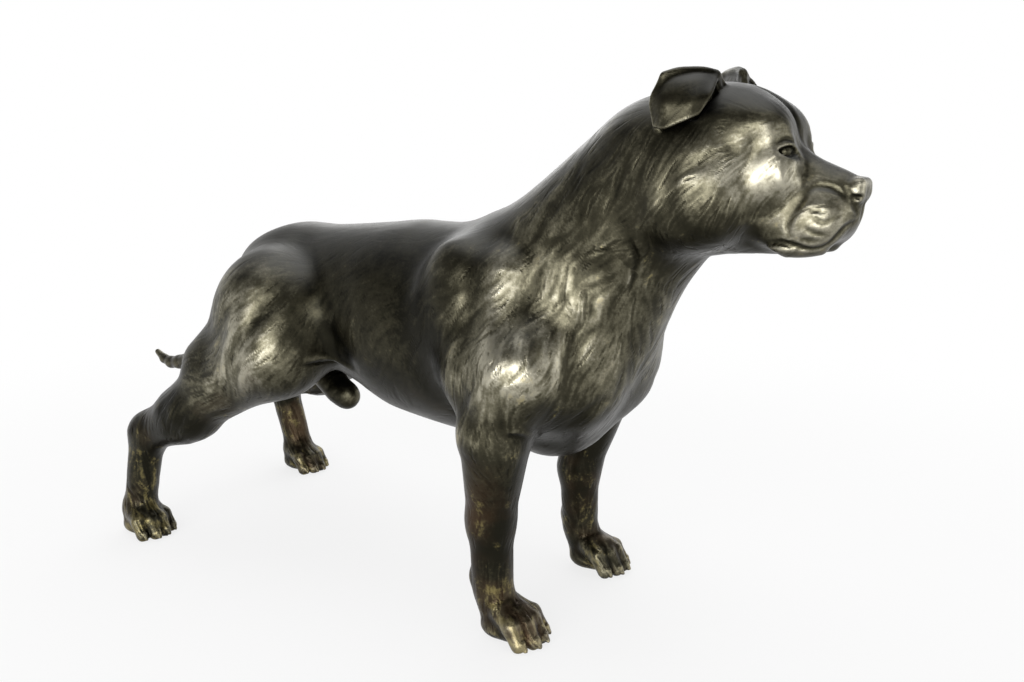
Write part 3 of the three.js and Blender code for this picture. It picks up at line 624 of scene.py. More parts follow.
        rim_edges = []
        for face in crossing:
            kept: list[int] = []
            for a, b in zip(face, face[1:] + face[:1]):
                if depth[a] <= 0:
                    kept.append(a)
                if (depth[a] <= 0) != (depth[b] <= 0):
                    kept.append(point_on(a, b))
            if len(kept) >= 3:
                self.others.append(kept)
                new = [p for p in kept if p >= len(self.points)]
                if len(new) == 2:
                    first, second = new
                    place = kept.index(first)
                    follows = kept[(place + 1) % len(kept)] == second
                    rim_edges.append((second, first) if follows else (first, second))
        if not added:
            return
        outer = np.array(added, np.float32)
        if seam.is_capped:
            self.points = np.vstack([self.points, outer])
            self.rim += self.loops(rim_edges)
            return
        start = len(self.points)
        normal = unit(seam.normal).astype(np.float32)
        inward = -skin.slope(outer)
        inward -= (inward @ normal)[:, None] * normal
        inward /= np.maximum(np.linalg.norm(inward, axis=1), 1e-6)[:, None]
        inner = outer + inward * wall
        self.points = np.vstack([self.points, outer, inner])
        for a, b in rim_edges:
            self.rim.append([a, b, b + len(outer), a + len(outer)])

    @staticmethod
    def loops(edges: Iterable[tuple[int, int]]) -> list[list[int]]:
        """Chains directed edges into closed loops.

        Args:
            edges: The edges, as pairs of point numbers.

        Returns:
            The loops, as lists of point numbers.
        """
        following = dict(edges)
        loops = []
        while following:
            start, at = following.popitem()
            loop = [start]
            while at != start and at in following:
                loop.append(at)
                at = following.pop(at)
            if at == start and len(loop) > 2:
                loops.append(loop)
        return loops

    def compact(self) -> None:
        """Drops points that no face uses."""
        used = np.zeros(len(self.points), bool)
        used[self.quads] = True
        for face in self.others + self.rim:
            used[face] = True
        place = np.cumsum(used) - 1
        self.points = self.points[used]
        self.quads = place[self.quads]
        self.others = [[int(place[p]) for p in face] for face in self.others]
        self.rim = [[int(place[p]) for p in face] for face in self.rim]

    def skin_points(self) -> np.ndarray:
        """Which points belong to the outer skin, and not only to a rim."""
        is_skin = np.zeros(len(self.points), bool)
        is_skin[self.quads] = True
        for face in self.others:
            is_skin[face] = True
        return is_skin

    def keep_largest(self) -> None:
        """Keeps the largest joined body of the shell."""
        label = np.arange(len(self.points))
        edges = np.vstack([self.quads[:, [0, 1]], self.quads[:, [1, 2]], self.quads[:, [2, 3]],
                           *[np.array([[a, b] for a, b in zip(f, f[1:])]) for f in self.others + self.rim]])
        while True:
            lowest = np.minimum(label[edges[:, 0]], label[edges[:, 1]])
            new = label.copy()
            np.minimum.at(new, edges[:, 0], lowest)
            np.minimum.at(new, edges[:, 1], lowest)
            new = new[new]
            new = new[new]
            if np.array_equal(new, label):
                break
            label = new
        names, counts = np.unique(label, return_counts=True)
        kept = label == names[np.argmax(counts)]
        self.quads = self.quads[kept[self.quads[:, 0]]]
        self.others = [f for f in self.others if kept[f[0]]]
        self.rim = [f for f in self.rim if kept[f[0]]]
        self.compact()


def bone(start: Point, end: Point, start_radius: float, end_radius: float, blend: float) -> Bone:
    """A bone from one joint to another."""
    return Bone(blend=blend, start=start, end=end, start_radius=start_radius, end_radius=end_radius)


def muscle(centre: Point, half: Point, blend: float, yaw: float = 0, pitch: float = 0,
           roll: float = 0) -> Muscle:
    """A muscle with its three half sizes and its turns."""
    return Muscle(blend=blend, centre=centre, half=half, yaw=yaw, pitch=pitch, roll=roll)


def hollow(form: Form) -> Form:
    """The same form, cut out instead of joined."""
    return replace(form, is_hollow=True)


def paired(forms: Iterable[Form]) -> list[Form]:
    """Forms that are given for the left side, with their twins on the right."""
    return [twin for form in forms for twin in (form, form.mirrored())]


def placed(forms: Iterable[Form], side: Side) -> list[Form]:
    """Forms that are given for the left side, placed on a side."""
    return [form.mirrored() if side is Side.RIGHT else form for form in forms]


class Blend:
    """How far apart two forms may lie and still melt together."""

    BROAD = 40.0
    FLESH = 30.0
    LIMB = 18.0
    FINE = 8.0
    CREASE = 4.0


def joint(about: str, parent: str, x: float, y: float, z: float) -> property:
    """A property of the skeleton: a joint that lies at a set offset from its parent, which is named."""
    return property(lambda bones: moved(getattr(bones, parent), x, y, z), doc=about)


@dataclass(frozen=True)
class Skeleton:
    """The joints of the dog, worked out from a few driving sizes. Paired joints are on the left side."""

    chest_x: float = 45
    chest_height: float = 285
    chest_half_width: float = 92
    rump_x: float = -163
    rump_height: float = 312
    rump_half_width: float = 60
    rump_half_depth: float = 62
    fore_track: float = 186
    hind_track: float = 280
    forepaw_x: float = 181
    hindpaw_x: float = -341
    left_fore_setback: float = 10
    left_hind_setback: float = 17
    left_hock_setback: float = 23
    hock_height: float = 128
    eye_spacing: float = 52
    ear_spacing: float = 116
    ear_lift: float = 0
    tail_reach: float = 264
    tail_drop: float = 133
    tail_tip_rise: float = 10

    brisket = joint("The front end of the keel.", "chest", 138, 0, -56)
    forechest = joint("The middle of the forechest.", "chest", 166, 0, 1)
    loin = joint("The front end of the loin.", "chest", -65, 0, 38)
    croup = joint("The top of the rump.", "rump", 3, 0, 7)
    withers = joint("The highest point between the shoulder blades.", "chest", 65, 0, 66)
    neck_base = joint("Where the neck leaves the chest.", "chest", 132, 0, 59)
    neck_top = joint("Where the neck meets the skull.", "neck_base", 118, 0, 94)
    skull = joint("The middle of the skull.", "neck_top", 49, 0, 30)
    muzzle = joint("Where the muzzle leaves the skull.", "skull", 59, 0, -34)
    muzzle_tip = joint("The front of the muzzle.", "muzzle", 46, 0, -9)
    nose = joint("The middle of the nose pad.", "muzzle_tip", 21.5, 0, 14.5)
    calf_start = joint("The top of the left calf.", "stifle", -4, 4, -5)
    tail_root = joint("Where the tail leaves the rump.", "rump", -50, 0, 19)
    sheath_root = joint("Where the sheath bends forward.", "groin", -8, 0, -24)
    sheath_end = joint("The free end of the sheath.", "sheath_root", 70, 0, -62)

    @property
    def chest(self) -> Point:
        """The middle of the rib cage."""
        return (self.chest_x, 0, self.chest_height)

    @property
    def rump(self) -> Point:
        """The middle of the rump."""
        return (self.rump_x, 0, self.rump_height)

    @property
    def eye(self) -> Point:
        """The middle of the left eye."""
        return moved(self.skull, 77, self.eye_spacing / 2, 3)

    @property
    def ear(self) -> Point:
        """The middle of the left ear."""
        return moved(self.skull, -2, self.ear_spacing / 2, 48 + self.ear_lift)

    @property
    def shoulder(self) -> Point:
        """The point of the left shoulder."""
        return moved(self.chest, 156, self.chest_half_width - 6, -17)

    @property
    def elbow(self) -> Point:
        """The left elbow."""
        return moved(self.chest, 134, self.fore_track / 2 + 6, -70)

    @property
    def hip(self) -> Point:
        """The left hip."""
        return moved(self.rump, 13, self.rump_half_width + 16, -16)

    @property
    def stifle(self) -> Point:
        """The left knee."""
        return moved(self.rump, 48, self.rump_half_width + 38, -64)

    @property
    def groin(self) -> Point:
        """Where the sheath's root meets the belly."""
        return moved(self.rump, -12, 0, 10 - self.rump_half_depth)

    def setback(self, side: Side, amount: float) -> float:
        """How far the left limb stands behind the right one."""
        return amount if side is Side.LEFT else 0.0

    def fore_ankle(self, side: Side) -> Point:
        """The point on the ground under a fore ankle, given on the left side."""
        return (self.forepaw_x - self.setback(side, self.left_fore_setback), self.fore_track / 2, 0)

    def hind_ankle(self, side: Side) -> Point:
        """The point on the ground under a hind ankle, given on the left side."""
        return (self.hindpaw_x - self.setback(side, self.left_hind_setback), self.hind_track / 2, 0)

    def calf_end(self, side: Side) -> Point:
        """The foot of a calf, given on the left side."""
        swing = 0.7 * self.setback(side, self.left_hind_setback + self.left_hock_setback)
        return (self.hindpaw_x + 84 - swing, self.hind_track / 2 - 18, self.hock_height + 35)

    def along_tail(self, reach: float, drop: float) -> Point:
        """A point of the tail, by how much of its reach and of its drop lies before it."""
        lowest = self.tail_drop + self.tail_tip_rise
        return moved(self.tail_root, -self.tail_reach * reach, 0, -lowest * drop)

    @property
    def tail_end(self) -> Point:
        """The tip of the tail."""
        return moved(self.tail_root, -self.tail_reach, 0, -self.tail_drop)


def stroke(at: Point, width: float, depth: float, *path: Point, is_paired: bool = True) -> Stroke:
    """A stroke through points that are given from a joint on the left side."""
    return Stroke(tuple(moved(at, *offset) for offset in path), width, depth, is_paired=is_paired)


@dataclass
class Trunk:
    """Rib cage, belly, loin and rump."""

    bones: Skeleton
    chest_half_length: float = 168
    chest_half_depth: float = 99
    chest_pitch: float = 3
    keel_rear_radius: float = 42
    keel_front_radius: float = 66
    forechest_half_width: float = 86
    belly_radius: float = 72
    flank_radius: float = 52
    loin_radius: float = 62
    rump_half_length: float = 75
    withers_radius: float = 36

    def forms(self) -> list[Form]:
        """The trunk's forms."""
        b = self.bones
        rump_half = (self.rump_half_length, b.rump_half_width, b.rump_half_depth - 2)
        chest_half = (self.chest_half_length, b.chest_half_width, self.chest_half_depth)
        return [
            muscle(b.chest, chest_half, Blend.FLESH, pitch=self.chest_pitch),
            bone(moved(b.chest, -36, 0, -53), moved(b.brisket, 3, 0, -1), self.keel_rear_radius,
                 self.keel_front_radius, Blend.BROAD),
            muscle(moved(b.forechest, 0, 0, 7), (72, self.forechest_half_width, 79), Blend.BROAD),
            bone(moved(b.chest, -46, 0, -2), moved(b.rump, 3, 0, -11), self.belly_radius, self.flank_radius,
                 Blend.BROAD),
            bone(moved(b.loin, 0, 0, -2), b.croup, self.loin_radius, self.loin_radius + 1, Blend.BROAD),
            muscle(moved(b.rump, -11, 0, -4), rump_half, Blend.FLESH, pitch=-9),
            *paired([muscle(moved(b.rump, -27, 30, 19), (50, 28, 32), Blend.FLESH, pitch=-8)]),
            bone(moved(b.withers, 10, 0, 7), moved(b.withers, -76, 0, -4), self.withers_radius,
                 self.withers_radius, Blend.BROAD),
            muscle(moved(b.chest, -118, 0, 6), (84, 73, 68), Blend.FLESH, pitch=4),
        ]

    def strokes(self) -> list[Stroke]:
        """The marks on the trunk."""
        b = self.bones
        return [
            stroke(b.stifle, 11, 2.4, (56, -6, 32), (71, -14, 26), (85, -17, 6), (94, -22, -11)),
            stroke(b.stifle, 5, -2, (52, 10, -2), (57, -7, 1), (70, -25, -8), (96, -23, -13)),
            stroke(b.stifle, 2.4, 1.2, (50, 13, -5), (56, -14, -6), (70, -27, -14)),
        ]


@dataclass
class Neck:
    """The arched neck with its throat."""

    bones: Skeleton
    base_radius: float = 77
    top_radius: float = 66
    throat_radius: float = 63
    throat_top_radius: float = 45
    nape_radius: float = 36
    nape_top_radius: float = 52

    def forms(self) -> list[Form]:
        """The neck's forms."""
        base, top = self.bones.neck_base, self.bones.neck_top
        return [
            bone(base, top, self.base_radius, self.top_radius, Blend.BROAD + 10),
            bone(moved(base, 18, 0, 38), moved(top, -5, 0, 12), self.nape_radius, self.nape_top_radius,
                 Blend.BROAD),
            bone(moved(base, 51, 0, -28), moved(top, 8, 0, -25), self.throat_radius, self.throat_top_radius,
                 Blend.BROAD),
        ]

    def strokes(self) -> list[Stroke]:
        """The folds of the neck."""
        base = self.bones.neck_base
        return [
            stroke(base, 1.3, 1.3, (76, 74, 34), (92, 71, 39), (108, 69, 43)),
            stroke(base, 3.2, 2, (124, 67, 54), (127, 63, 43), (128, 58, 29), (123, 53, 11), (118, 53, -1)),
            stroke(base, 8, -1.8, (132, 68, 56), (134, 61, 43), (132, 56, 30)),
            stroke(base, 8, -1.6, (111, 65, 31), (116, 59, 20), (116, 55, 6)),
            stroke(base, 13, -2.2, (72, 76, 2), (80, 74, -12), (86, 69, -24)),
            stroke(base, 6, 1.2, (84, 72, 12), (91, 69, -8), (92, 68, -24)),
            stroke(base, 15, 2.2, (30, 73, 56), (70, 75, 34), (100, 67, 8)),
            stroke(base, 11, 1.8, (140, 77, 95), (135, 76, 83), (138, 74, 68)),
            stroke(base, 11, -1.6, (104, 70, 62), (116, 68, 36), (112, 64, 14)),
        ]


@dataclass
class Head:
    """Skull, cheeks, brows, muzzle, lips, nose and eyes."""

    bones: Skeleton
    skull_half: Point = (76, 66, 58.5)
    muzzle_radius: float = 37
    muzzle_tip_radius: float = 29.5
    jaw_radius: float = 27
    nose_half_width: float = 15.5
    eye_radius: float = 6.8

    def forms(self) -> list[Form]:
        """The head's forms."""
        b = self.bones
        skull, muzzle, tip = b.skull, b.muzzle, b.muzzle_tip
        return [
            muscle(skull, self.skull_half, Blend.FLESH),
            muscle(moved(skull, 34, 0, 25), (42, 42, 29), Blend.FLESH - 10, pitch=20),
            bone(muzzle, tip, self.muzzle_radius, self.muzzle_tip_radius, Blend.FLESH - 8),
            bone(moved(muzzle, 13, 0, 22.5), moved(tip, 14, 0, 15.5), 16.5, 12.5, Blend.LIMB - 4),
            bone(moved(muzzle, -41, 0, -25), moved(tip, -18, 0, -24), self.jaw_radius, self.jaw_radius - 12.5,
                 Blend.LIMB),
            *paired([
                muscle(moved(skull, 6, 43, -38), (47, 37, 43), Blend.FLESH - 4),
                muscle(moved(skull, 54, 25, 20), (20.5, 18, 16.5), Blend.FLESH - 10),
                muscle(moved(tip, -15, 21.5, -12.5), (34, 17.5, 24.5), Blend.LIMB - 4),
                muscle(moved(skull, 62, 31, -14), (32, 19, 30), Blend.FINE, yaw=-17, roll=4),
                bone(moved(tip, -22, 26, -33), moved(tip, 2, 16, -32), 6, 4, Blend.FINE),
                muscle(moved(tip, -25, 27, -31), (12, 7, 5), Blend.CREASE, yaw=-4),
            ]),
            *paired([hollow(bone(moved(b.ear, 10, -6, -17), moved(b.ear, 17, -21, 3), 4.5, 4.5,
                                 Blend.CREASE))]),
            *self.nose_forms(),
            *self.eye_forms(),
        ]

    def nose_forms(self) -> list[Form]:
        """The nose pad with its two nostrils."""
        nose = self.bones.nose
        return [
            muscle(nose, (11.5, self.nose_half_width, 11.5), Blend.CREASE),
            bone(moved(nose, 6, -9, 6), moved(nose, 6, 9, 6), 5.5, 5.5, Blend.CREASE),
            *paired([
                muscle(moved(nose, 3, 10, -1), (8, 6.5, 7.5), Blend.CREASE),
                hollow(muscle(moved(nose, 8, 15, -4), (5, 3.4, 2.4), Blend.CREASE / 2, yaw=-30)),
            ]),
        ]

    def eye_forms(self) -> list[Form]:
        """The eye sockets and the eyeballs in them."""
        eye = self.bones.eye
        radius = self.eye_radius
        return paired([
            hollow(muscle(moved(eye, 3, 4, 0), (10, 6.5, 4.2), Blend.FINE - 2, yaw=-40)),
            muscle(moved(eye, -2, -2, -0.5), (radius, radius, radius - 1), Blend.CREASE / 2),
        ])

    def strokes(self) -> list[Stroke]:
        """The marks on the head."""
        return [*self.eye_strokes(), *self.muzzle_strokes(), *self.skull_strokes()]

    def eye_strokes(self) -> list[Stroke]:
        """Lids, brow and the hollow under the eye."""
        eye = self.bones.eye
        return [
            stroke(eye, 2.2, -1.1, (-8, 11, 2), (-3, 9, 5), (3, 4, 6), (8, -2, 4), (10, -6, -1)),
            stroke(eye, 2.6, 1.1, (-6, 13, 7), (-1, 9, 9.5), (5, 3, 10.5), (11, -4, 7)),
            stroke(eye, 2.2, -0.7, (-8, 11, 0), (-3, 9, -4.5), (4, 3, -6), (10, -5, -2)),
            stroke(eye, 2.8, 0.8, (-6, 12, -6), (1, 8, -9.5), (8, 1, -9)),
            stroke(eye, 8, 3.2, (6, 1, -9), (11, -1, -16), (19, 0, -25)),
            stroke(eye, 6, -1.6, (0, 4, 21), (4, 0, 13), (7, -8, 8)),
            stroke(eye, 6, -1.2, (-6, 16, -12), (0, 12, -20), (8, 8, -30)),
        ]

    def muzzle_strokes(self) -> list[Stroke]:
        """Lips, whisker pads, their wrinkles and the edge of the nose pad."""
        tip = self.bones.muzzle_tip
        return [
            stroke(tip, 3.2, 1.8, (28, 13, 0), (25, 17, 6), (20, 20, 12), (10, 22, 18), (-2, 25, 19),
                   (-7, 31, 14), (-11, 37, 5), (-17, 39, -4), (-19, 39, -13), (-17, 38, -21), (-11, 36, -26)),
            stroke(tip, 2.3, 2.8, (-36, 30, -30), (-27, 34, -26.5), (-13, 35, -28.5), (-7, 33, -31),
                   (2, 29, -32), (11, 27, -29.5), (18, 26, -23), (23, 24, -16), (27, 17, -11), (30, 8, -9)),
            stroke(tip, 2.2, 0.9, (0, 38, -5), (4, 37, -7), (10, 35, -9), (15, 33, -6), (20, 29, -4)),
            stroke(tip, 2.4, 1.1, (-5, 39, -14), (1, 37, -17), (6, 36, -19), (13, 33, -20)),
            stroke(tip, 2.6, 1.2, (-8, 38, -22), (-1, 36, -25), (8, 34, -23)),
            stroke(tip, 2.2, 0.6, (-2, 38, 2), (4, 37, 0), (9, 35, -1)),
            stroke(tip, 8, 2.2, (-10, 32, 14), (-13, 36, 7), (-19, 39, -1), (-25, 39, -9), (-30, 38, -17),
                   (-36, 35, -24)),
            stroke(tip, 6, -0.9, (-17, 34, 12), (-22, 39, 2), (-30, 41, -8), (-37, 40, -18)),
            stroke(tip, 2.4, 1.5, (15, 17, 23), (21, 18, 16), (25, 16, 10), (27, 13, 1), (29, 8, -5)),
            stroke(tip, 2.4, 1.8, (33, 0, 9), (33, 0, 0), (31, 0, -9), is_paired=False),
            stroke(tip, 3.4, -1, (-33, 32, -33), (-24, 33, -32), (-14, 32, -34)),
        ]

    def skull_strokes(self) -> list[Stroke]:
        """The furrow of the forehead, temples and cheeks."""
        skull = self.bones.skull
        return [
            stroke(skull, 4, 2.8, (12, 0, 66), (33, 0, 60), (50, 0, 52), (66, 0, 40), (78, 0, 25), (87, 0, 6),
                   is_paired=False),
            stroke(skull, 8, 2, (56, 48, 26), (61, 49, 12), (59, 50, -2), (52, 50, -16)),
            stroke(skull, 9, -0.9, (46, 52, 24), (49, 55, 4), (44, 58, -14)),
            stroke(skull, 10, -1, (-6, 72, -6), (16, 67, 4), (36, 60, 12)),
            stroke(skull, 8, 0.8, (4, 70, -16), (22, 66, -8), (38, 60, -2)),
            stroke(skull, 10, 2.6, (-1, 71, -2), (-2, 73, -20), (-1, 74, -38), (6, 71, -54), (22, 60, -69)),
            stroke(skull, 6, -1, (46, 52, -53), (57, 44, -54), (64, 40, -60)),
            stroke(skull, 6, -1, (71, 38, -2), (74, 36, -14), (77, 36, -26), (74, 38, -40)),
        ]


@dataclass
class Shoulders:
    """Shoulder blades, upper arms and breast muscles."""

    bones: Skeleton
    point_radius: float = 48
    elbow_radius: float = 34

    def forms(self) -> list[Form]:
        """The forms of both shoulders."""
        shoulder, elbow = self.bones.shoulder, self.bones.elbow
        return paired([
            muscle(moved(shoulder, -66, -14, 38), (44, 31, 78), Blend.BROAD, pitch=-20),
            bone(shoulder, elbow, self.point_radius, self.elbow_radius, Blend.FLESH),
            muscle(moved(elbow, -28, -9, 45), (32, 26, 34), Blend.FLESH - 6, pitch=20),
            bone(moved(shoulder, -22, -16, 86), moved(shoulder, -18, 4, 6), 24, 27, Blend.LIMB),
            muscle(moved(shoulder, 29, -45, -6), (46, 42, 56), Blend.FLESH - 4),
        ])

    def strokes(self) -> list[Stroke]:
        """The furrows between the muscles of both shoulders."""
        shoulder, elbow = self.bones.shoulder, self.bones.elbow
        return [
            stroke(shoulder, 13, 3, (63, -15, 52), (56, -6, 32), (54, 2, 10), (54, -1, -12)),
            stroke(shoulder, 20, 3.6, (-37, 12, 71), (-34, 25, 40), (-31, 34, 14), (-26, 42, -14)),
            stroke(shoulder, 16, -2.8, (26, 12, 46), (37, 12, 24), (42, 6, -2)),
            stroke(shoulder, 10, 1.4, (13, 15, 52), (22, 17, 26), (25, 16, 2)),
            stroke(shoulder, 12, 1.2, (-2, 20, 56), (2, 24, 30), (2, 26, 4)),
            stroke(elbow, 4, -1.6, (31, 23, 5), (38, 17, 6), (41, 4, 2), (38, -12, -6)),
            stroke(elbow, 2.6, 1, (30, 24, 0), (37, 17, 1), (41, 4, -3)),
            stroke(elbow, 14, 2.8, (-28, 24, 36), (-10, 32, 22), (6, 34, 7)),
            stroke(elbow, 7, 1.4, (60, -25, 2), (90, -37, 25), (102, -60, 35)),
        ]


@dataclass
class Paw:
    """A compact paw with four arched toes. Its scale is 1 for a paw 88 long."""

    ankle: Point
    scale: float
    toe_spreads: tuple[float, ...] = (-22.5, -7.5, 7.5, 22.5)
    inner_spread: float = 10
    outer_setback: float = 9

    def place(self, x: float, y: float, z: float) -> Point:
        """A point of the paw, from the point on the ground under its ankle."""
        return moved(self.ankle, x * self.scale, y * self.scale, z * self.scale)

    def toe(self, spread: float) -> list[Form]:
        """One toe, root to tip.

        Args:
            spread: How far it lies from the paw's middle.

        Returns:
            The toe's forms, its claw last.
        """
        back = self.outer_setback if abs(spread) > self.inner_spread else 0
        knuckle = self.place(43 - back, spread, 26)
        return [
            bone(self.place(17 - back / 2, spread * 0.75, 36), knuckle, 9.5 * self.scale, 10.4 * self.scale,
                 Blend.FINE - 2),
            bone(knuckle, self.place(55 - back, spread * 1.1, 8), 10.4 * self.scale, 9.6 * self.scale,
                 Blend.CREASE),
            bone(self.place(61 - back, spread * 1.12, 12), self.place(65.5 - back, spread * 1.14, 5),
                 4 * self.scale, 2.8 * self.scale, Blend.CREASE / 2),
        ]

    def forms(self) -> list[Form]:
        """The paw's forms."""
        k = self.scale
        return [
            bone(self.place(0, 0, 30), self.place(26, 1, 22), 22 * k, 25 * k, Blend.LIMB - 2),
            muscle(self.place(4, 0, 12), (24 * k, 25 * k, 15 * k), Blend.FINE),
            *(form for spread in self.toe_spreads for form in self.toe(spread)),
        ]


@dataclass
class Foreleg:
    """A straight foreleg with its paw."""

    bones: Skeleton
    side: Side
    elbow_radius: float = 34
    forearm_foot_radius: float = 22.5
    carpus_radius: float = 22
    pastern_radius: float = 20.5
    paw_scale: float = 0.82

    def forms(self) -> list[Form]:
        """The leg's forms, on its own side."""
        elbow = self.bones.elbow
        ankle = self.bones.fore_ankle(self.side)
        carpus = moved(ankle, -9, 0, 116)
        pastern = moved(ankle, -7, 0, 48)
        return placed([
            bone(moved(elbow, 3, 0, -15), carpus, self.elbow_radius, self.forearm_foot_radius,
                 Blend.LIMB - 6),
            bone(carpus, pastern, self.carpus_radius, self.pastern_radius, Blend.LIMB - 4),
            muscle(moved(elbow, -22, 5, -18), (11, 12, 14), Blend.FINE),
            muscle(moved(pastern, -17, 2, 8), (7, 9, 10), Blend.FINE),
            *Paw(ankle, self.paw_scale).forms(),
        ], self.side)


@dataclass
class Thighs:
    """Hips, thighs and knees."""

    bones: Skeleton
    thigh_half: Point = (64, 43, 65)
    hip_radius: float = 54
    stifle_radius: float = 39
    hamstring_radius: float = 36
    hamstring_foot_radius: float = 30

    def forms(self) -> list[Form]:
        """The forms of both thighs."""
        hip, stifle = self.bones.hip, self.bones.stifle
        return paired([
            muscle(moved(hip, 20, 4, -18), self.thigh_half, Blend.FLESH, pitch=-30),
            bone(moved(hip, -4, -4, 6), moved(stifle, -108, 8, -20), self.hamstring_radius,
                 self.hamstring_foot_radius, Blend.BROAD - 4),
            bone(hip, stifle, self.hip_radius, self.stifle_radius, Blend.BROAD - 4),
        ])

    def strokes(self) -> list[Stroke]:
        """The furrows of both thighs."""
        hip, stifle = self.bones.hip, self.bones.stifle
        return [
            stroke(hip, 17, -2.6, (68, 29, 18), (60, 48, -6), (46, 66, -36)),
            stroke(hip, 12, 2.4, (52, 42, 20), (38, 60, -9), (22, 64, -42), (24, 63, -64)),
            stroke(hip, 16, -2, (34, 48, 14), (14, 62, -10), (0, 66, -36)),
            stroke(hip, 12, 1.8, (6, 58, 6), (-10, 66, -22), (-20, 64, -48)),
            stroke(stifle, 14, 1.6, (-5, 52, -15), (-40, 46, -46), (-72, 38, -76)),
            stroke(stifle, 14, -1.4, (-58, 50, -30), (-74, 48, -42)),
            stroke(stifle, 13, -1.2, (-12, 48, -30), (-26, 46, -40)),
            stroke(stifle, 9, 2.8, (-100, 50, -72), (-122, 52, -92), (-144, 54, -108)),
        ]


@dataclass
class HindLeg:
    """A hind leg from the knee down, with its paw."""

    bones: Skeleton
    side: Side
    stifle_radius: float = 39
    calf_radius: float = 31
    hock_radius: float = 22
    metatarsus_radius: float = 19
    paw_scale: float = 0.79

    def forms(self) -> list[Form]:
        """The leg's forms, on its own side."""
        b = self.bones
        ankle = b.hind_ankle(self.side)
        hock = moved(ankle, 22 - b.setback(self.side, b.left_hock_setback) * 1.75, -6, b.hock_height)
        end = b.calf_end(self.side)
        return placed([
            bone(b.calf_start, end, self.stifle_radius, self.calf_radius, Blend.BROAD - 4),
            bone(moved(end, 50, -12, 42), moved(hock, 0, -4, 8), self.hock_radius - 1, self.hock_radius - 9,
                 Blend.LIMB),
            bone(moved(end, 14, 0, -3), moved(hock, 10, -1, 2), self.calf_radius - 3, self.hock_radius - 1,
                 Blend.LIMB + 6),
            bone(hock, moved(ankle, 4, -1, 40), self.metatarsus_radius + 1.5, self.metatarsus_radius,
                 Blend.LIMB),
            *Paw(moved(ankle, b.setback(self.side, 2), 2 - b.setback(self.side, 6)), self.paw_scale).forms(),
        ], self.side)


@dataclass
class Tail:
    """The tail, which hangs behind the buttocks and turns up at its tip."""

    bones: Skeleton
    root_radius: float = 22
    middle_radius: float = 14
    tip_radius: float = 4.8

    def path(self) -> list[tuple[Point, float]]:
        """The tail's joints, each with its radius."""
        b = self.bones
        return [
            (b.tail_root, self.root_radius),
            (b.along_tail(0.205, 0.39), (self.root_radius + self.middle_radius) / 2),
            (b.along_tail(0.545, 0.92), self.middle_radius),
            (b.along_tail(0.73, 1.03), self.middle_radius - 3.5),
            (b.along_tail(0.83, 1.08), self.middle_radius - 5),
            (b.along_tail(0.90, 1.10), self.tip_radius + 3),
            (b.along_tail(0.96, 1.08), self.tip_radius + 1),
            (moved(b.tail_end, x=-4, z=-b.tail_tip_rise - 3), self.tip_radius - 1),
        ]

    def forms(self) -> list[Form]:
        """The tail's forms."""
        path = self.path()
        return [bone(a, b, ra, rb, Blend.CREASE if i else Blend.LIMB)
                for i, ((a, ra), (b, rb)) in enumerate(zip(path, path[1:]))]


@dataclass
class Sheath:
    """The sheath under the belly."""

    bones: Skeleton
    radius: float = 17

    def forms(self) -> list[Form]:
        """The sheath's forms."""
        b, r = self.bones, self.radius
        middle = between(b.sheath_root, b.sheath_end, 0.83)
        return [
            bone(b.groin, b.sheath_root, r, r + 5, Blend.LIMB + 4),
            bone(b.sheath_root, middle, r + 5, r, Blend.LIMB + 4),
            muscle(moved(b.sheath_end, 2, 0, 4), (r + 1, r - 2, r), Blend.FINE),
        ]


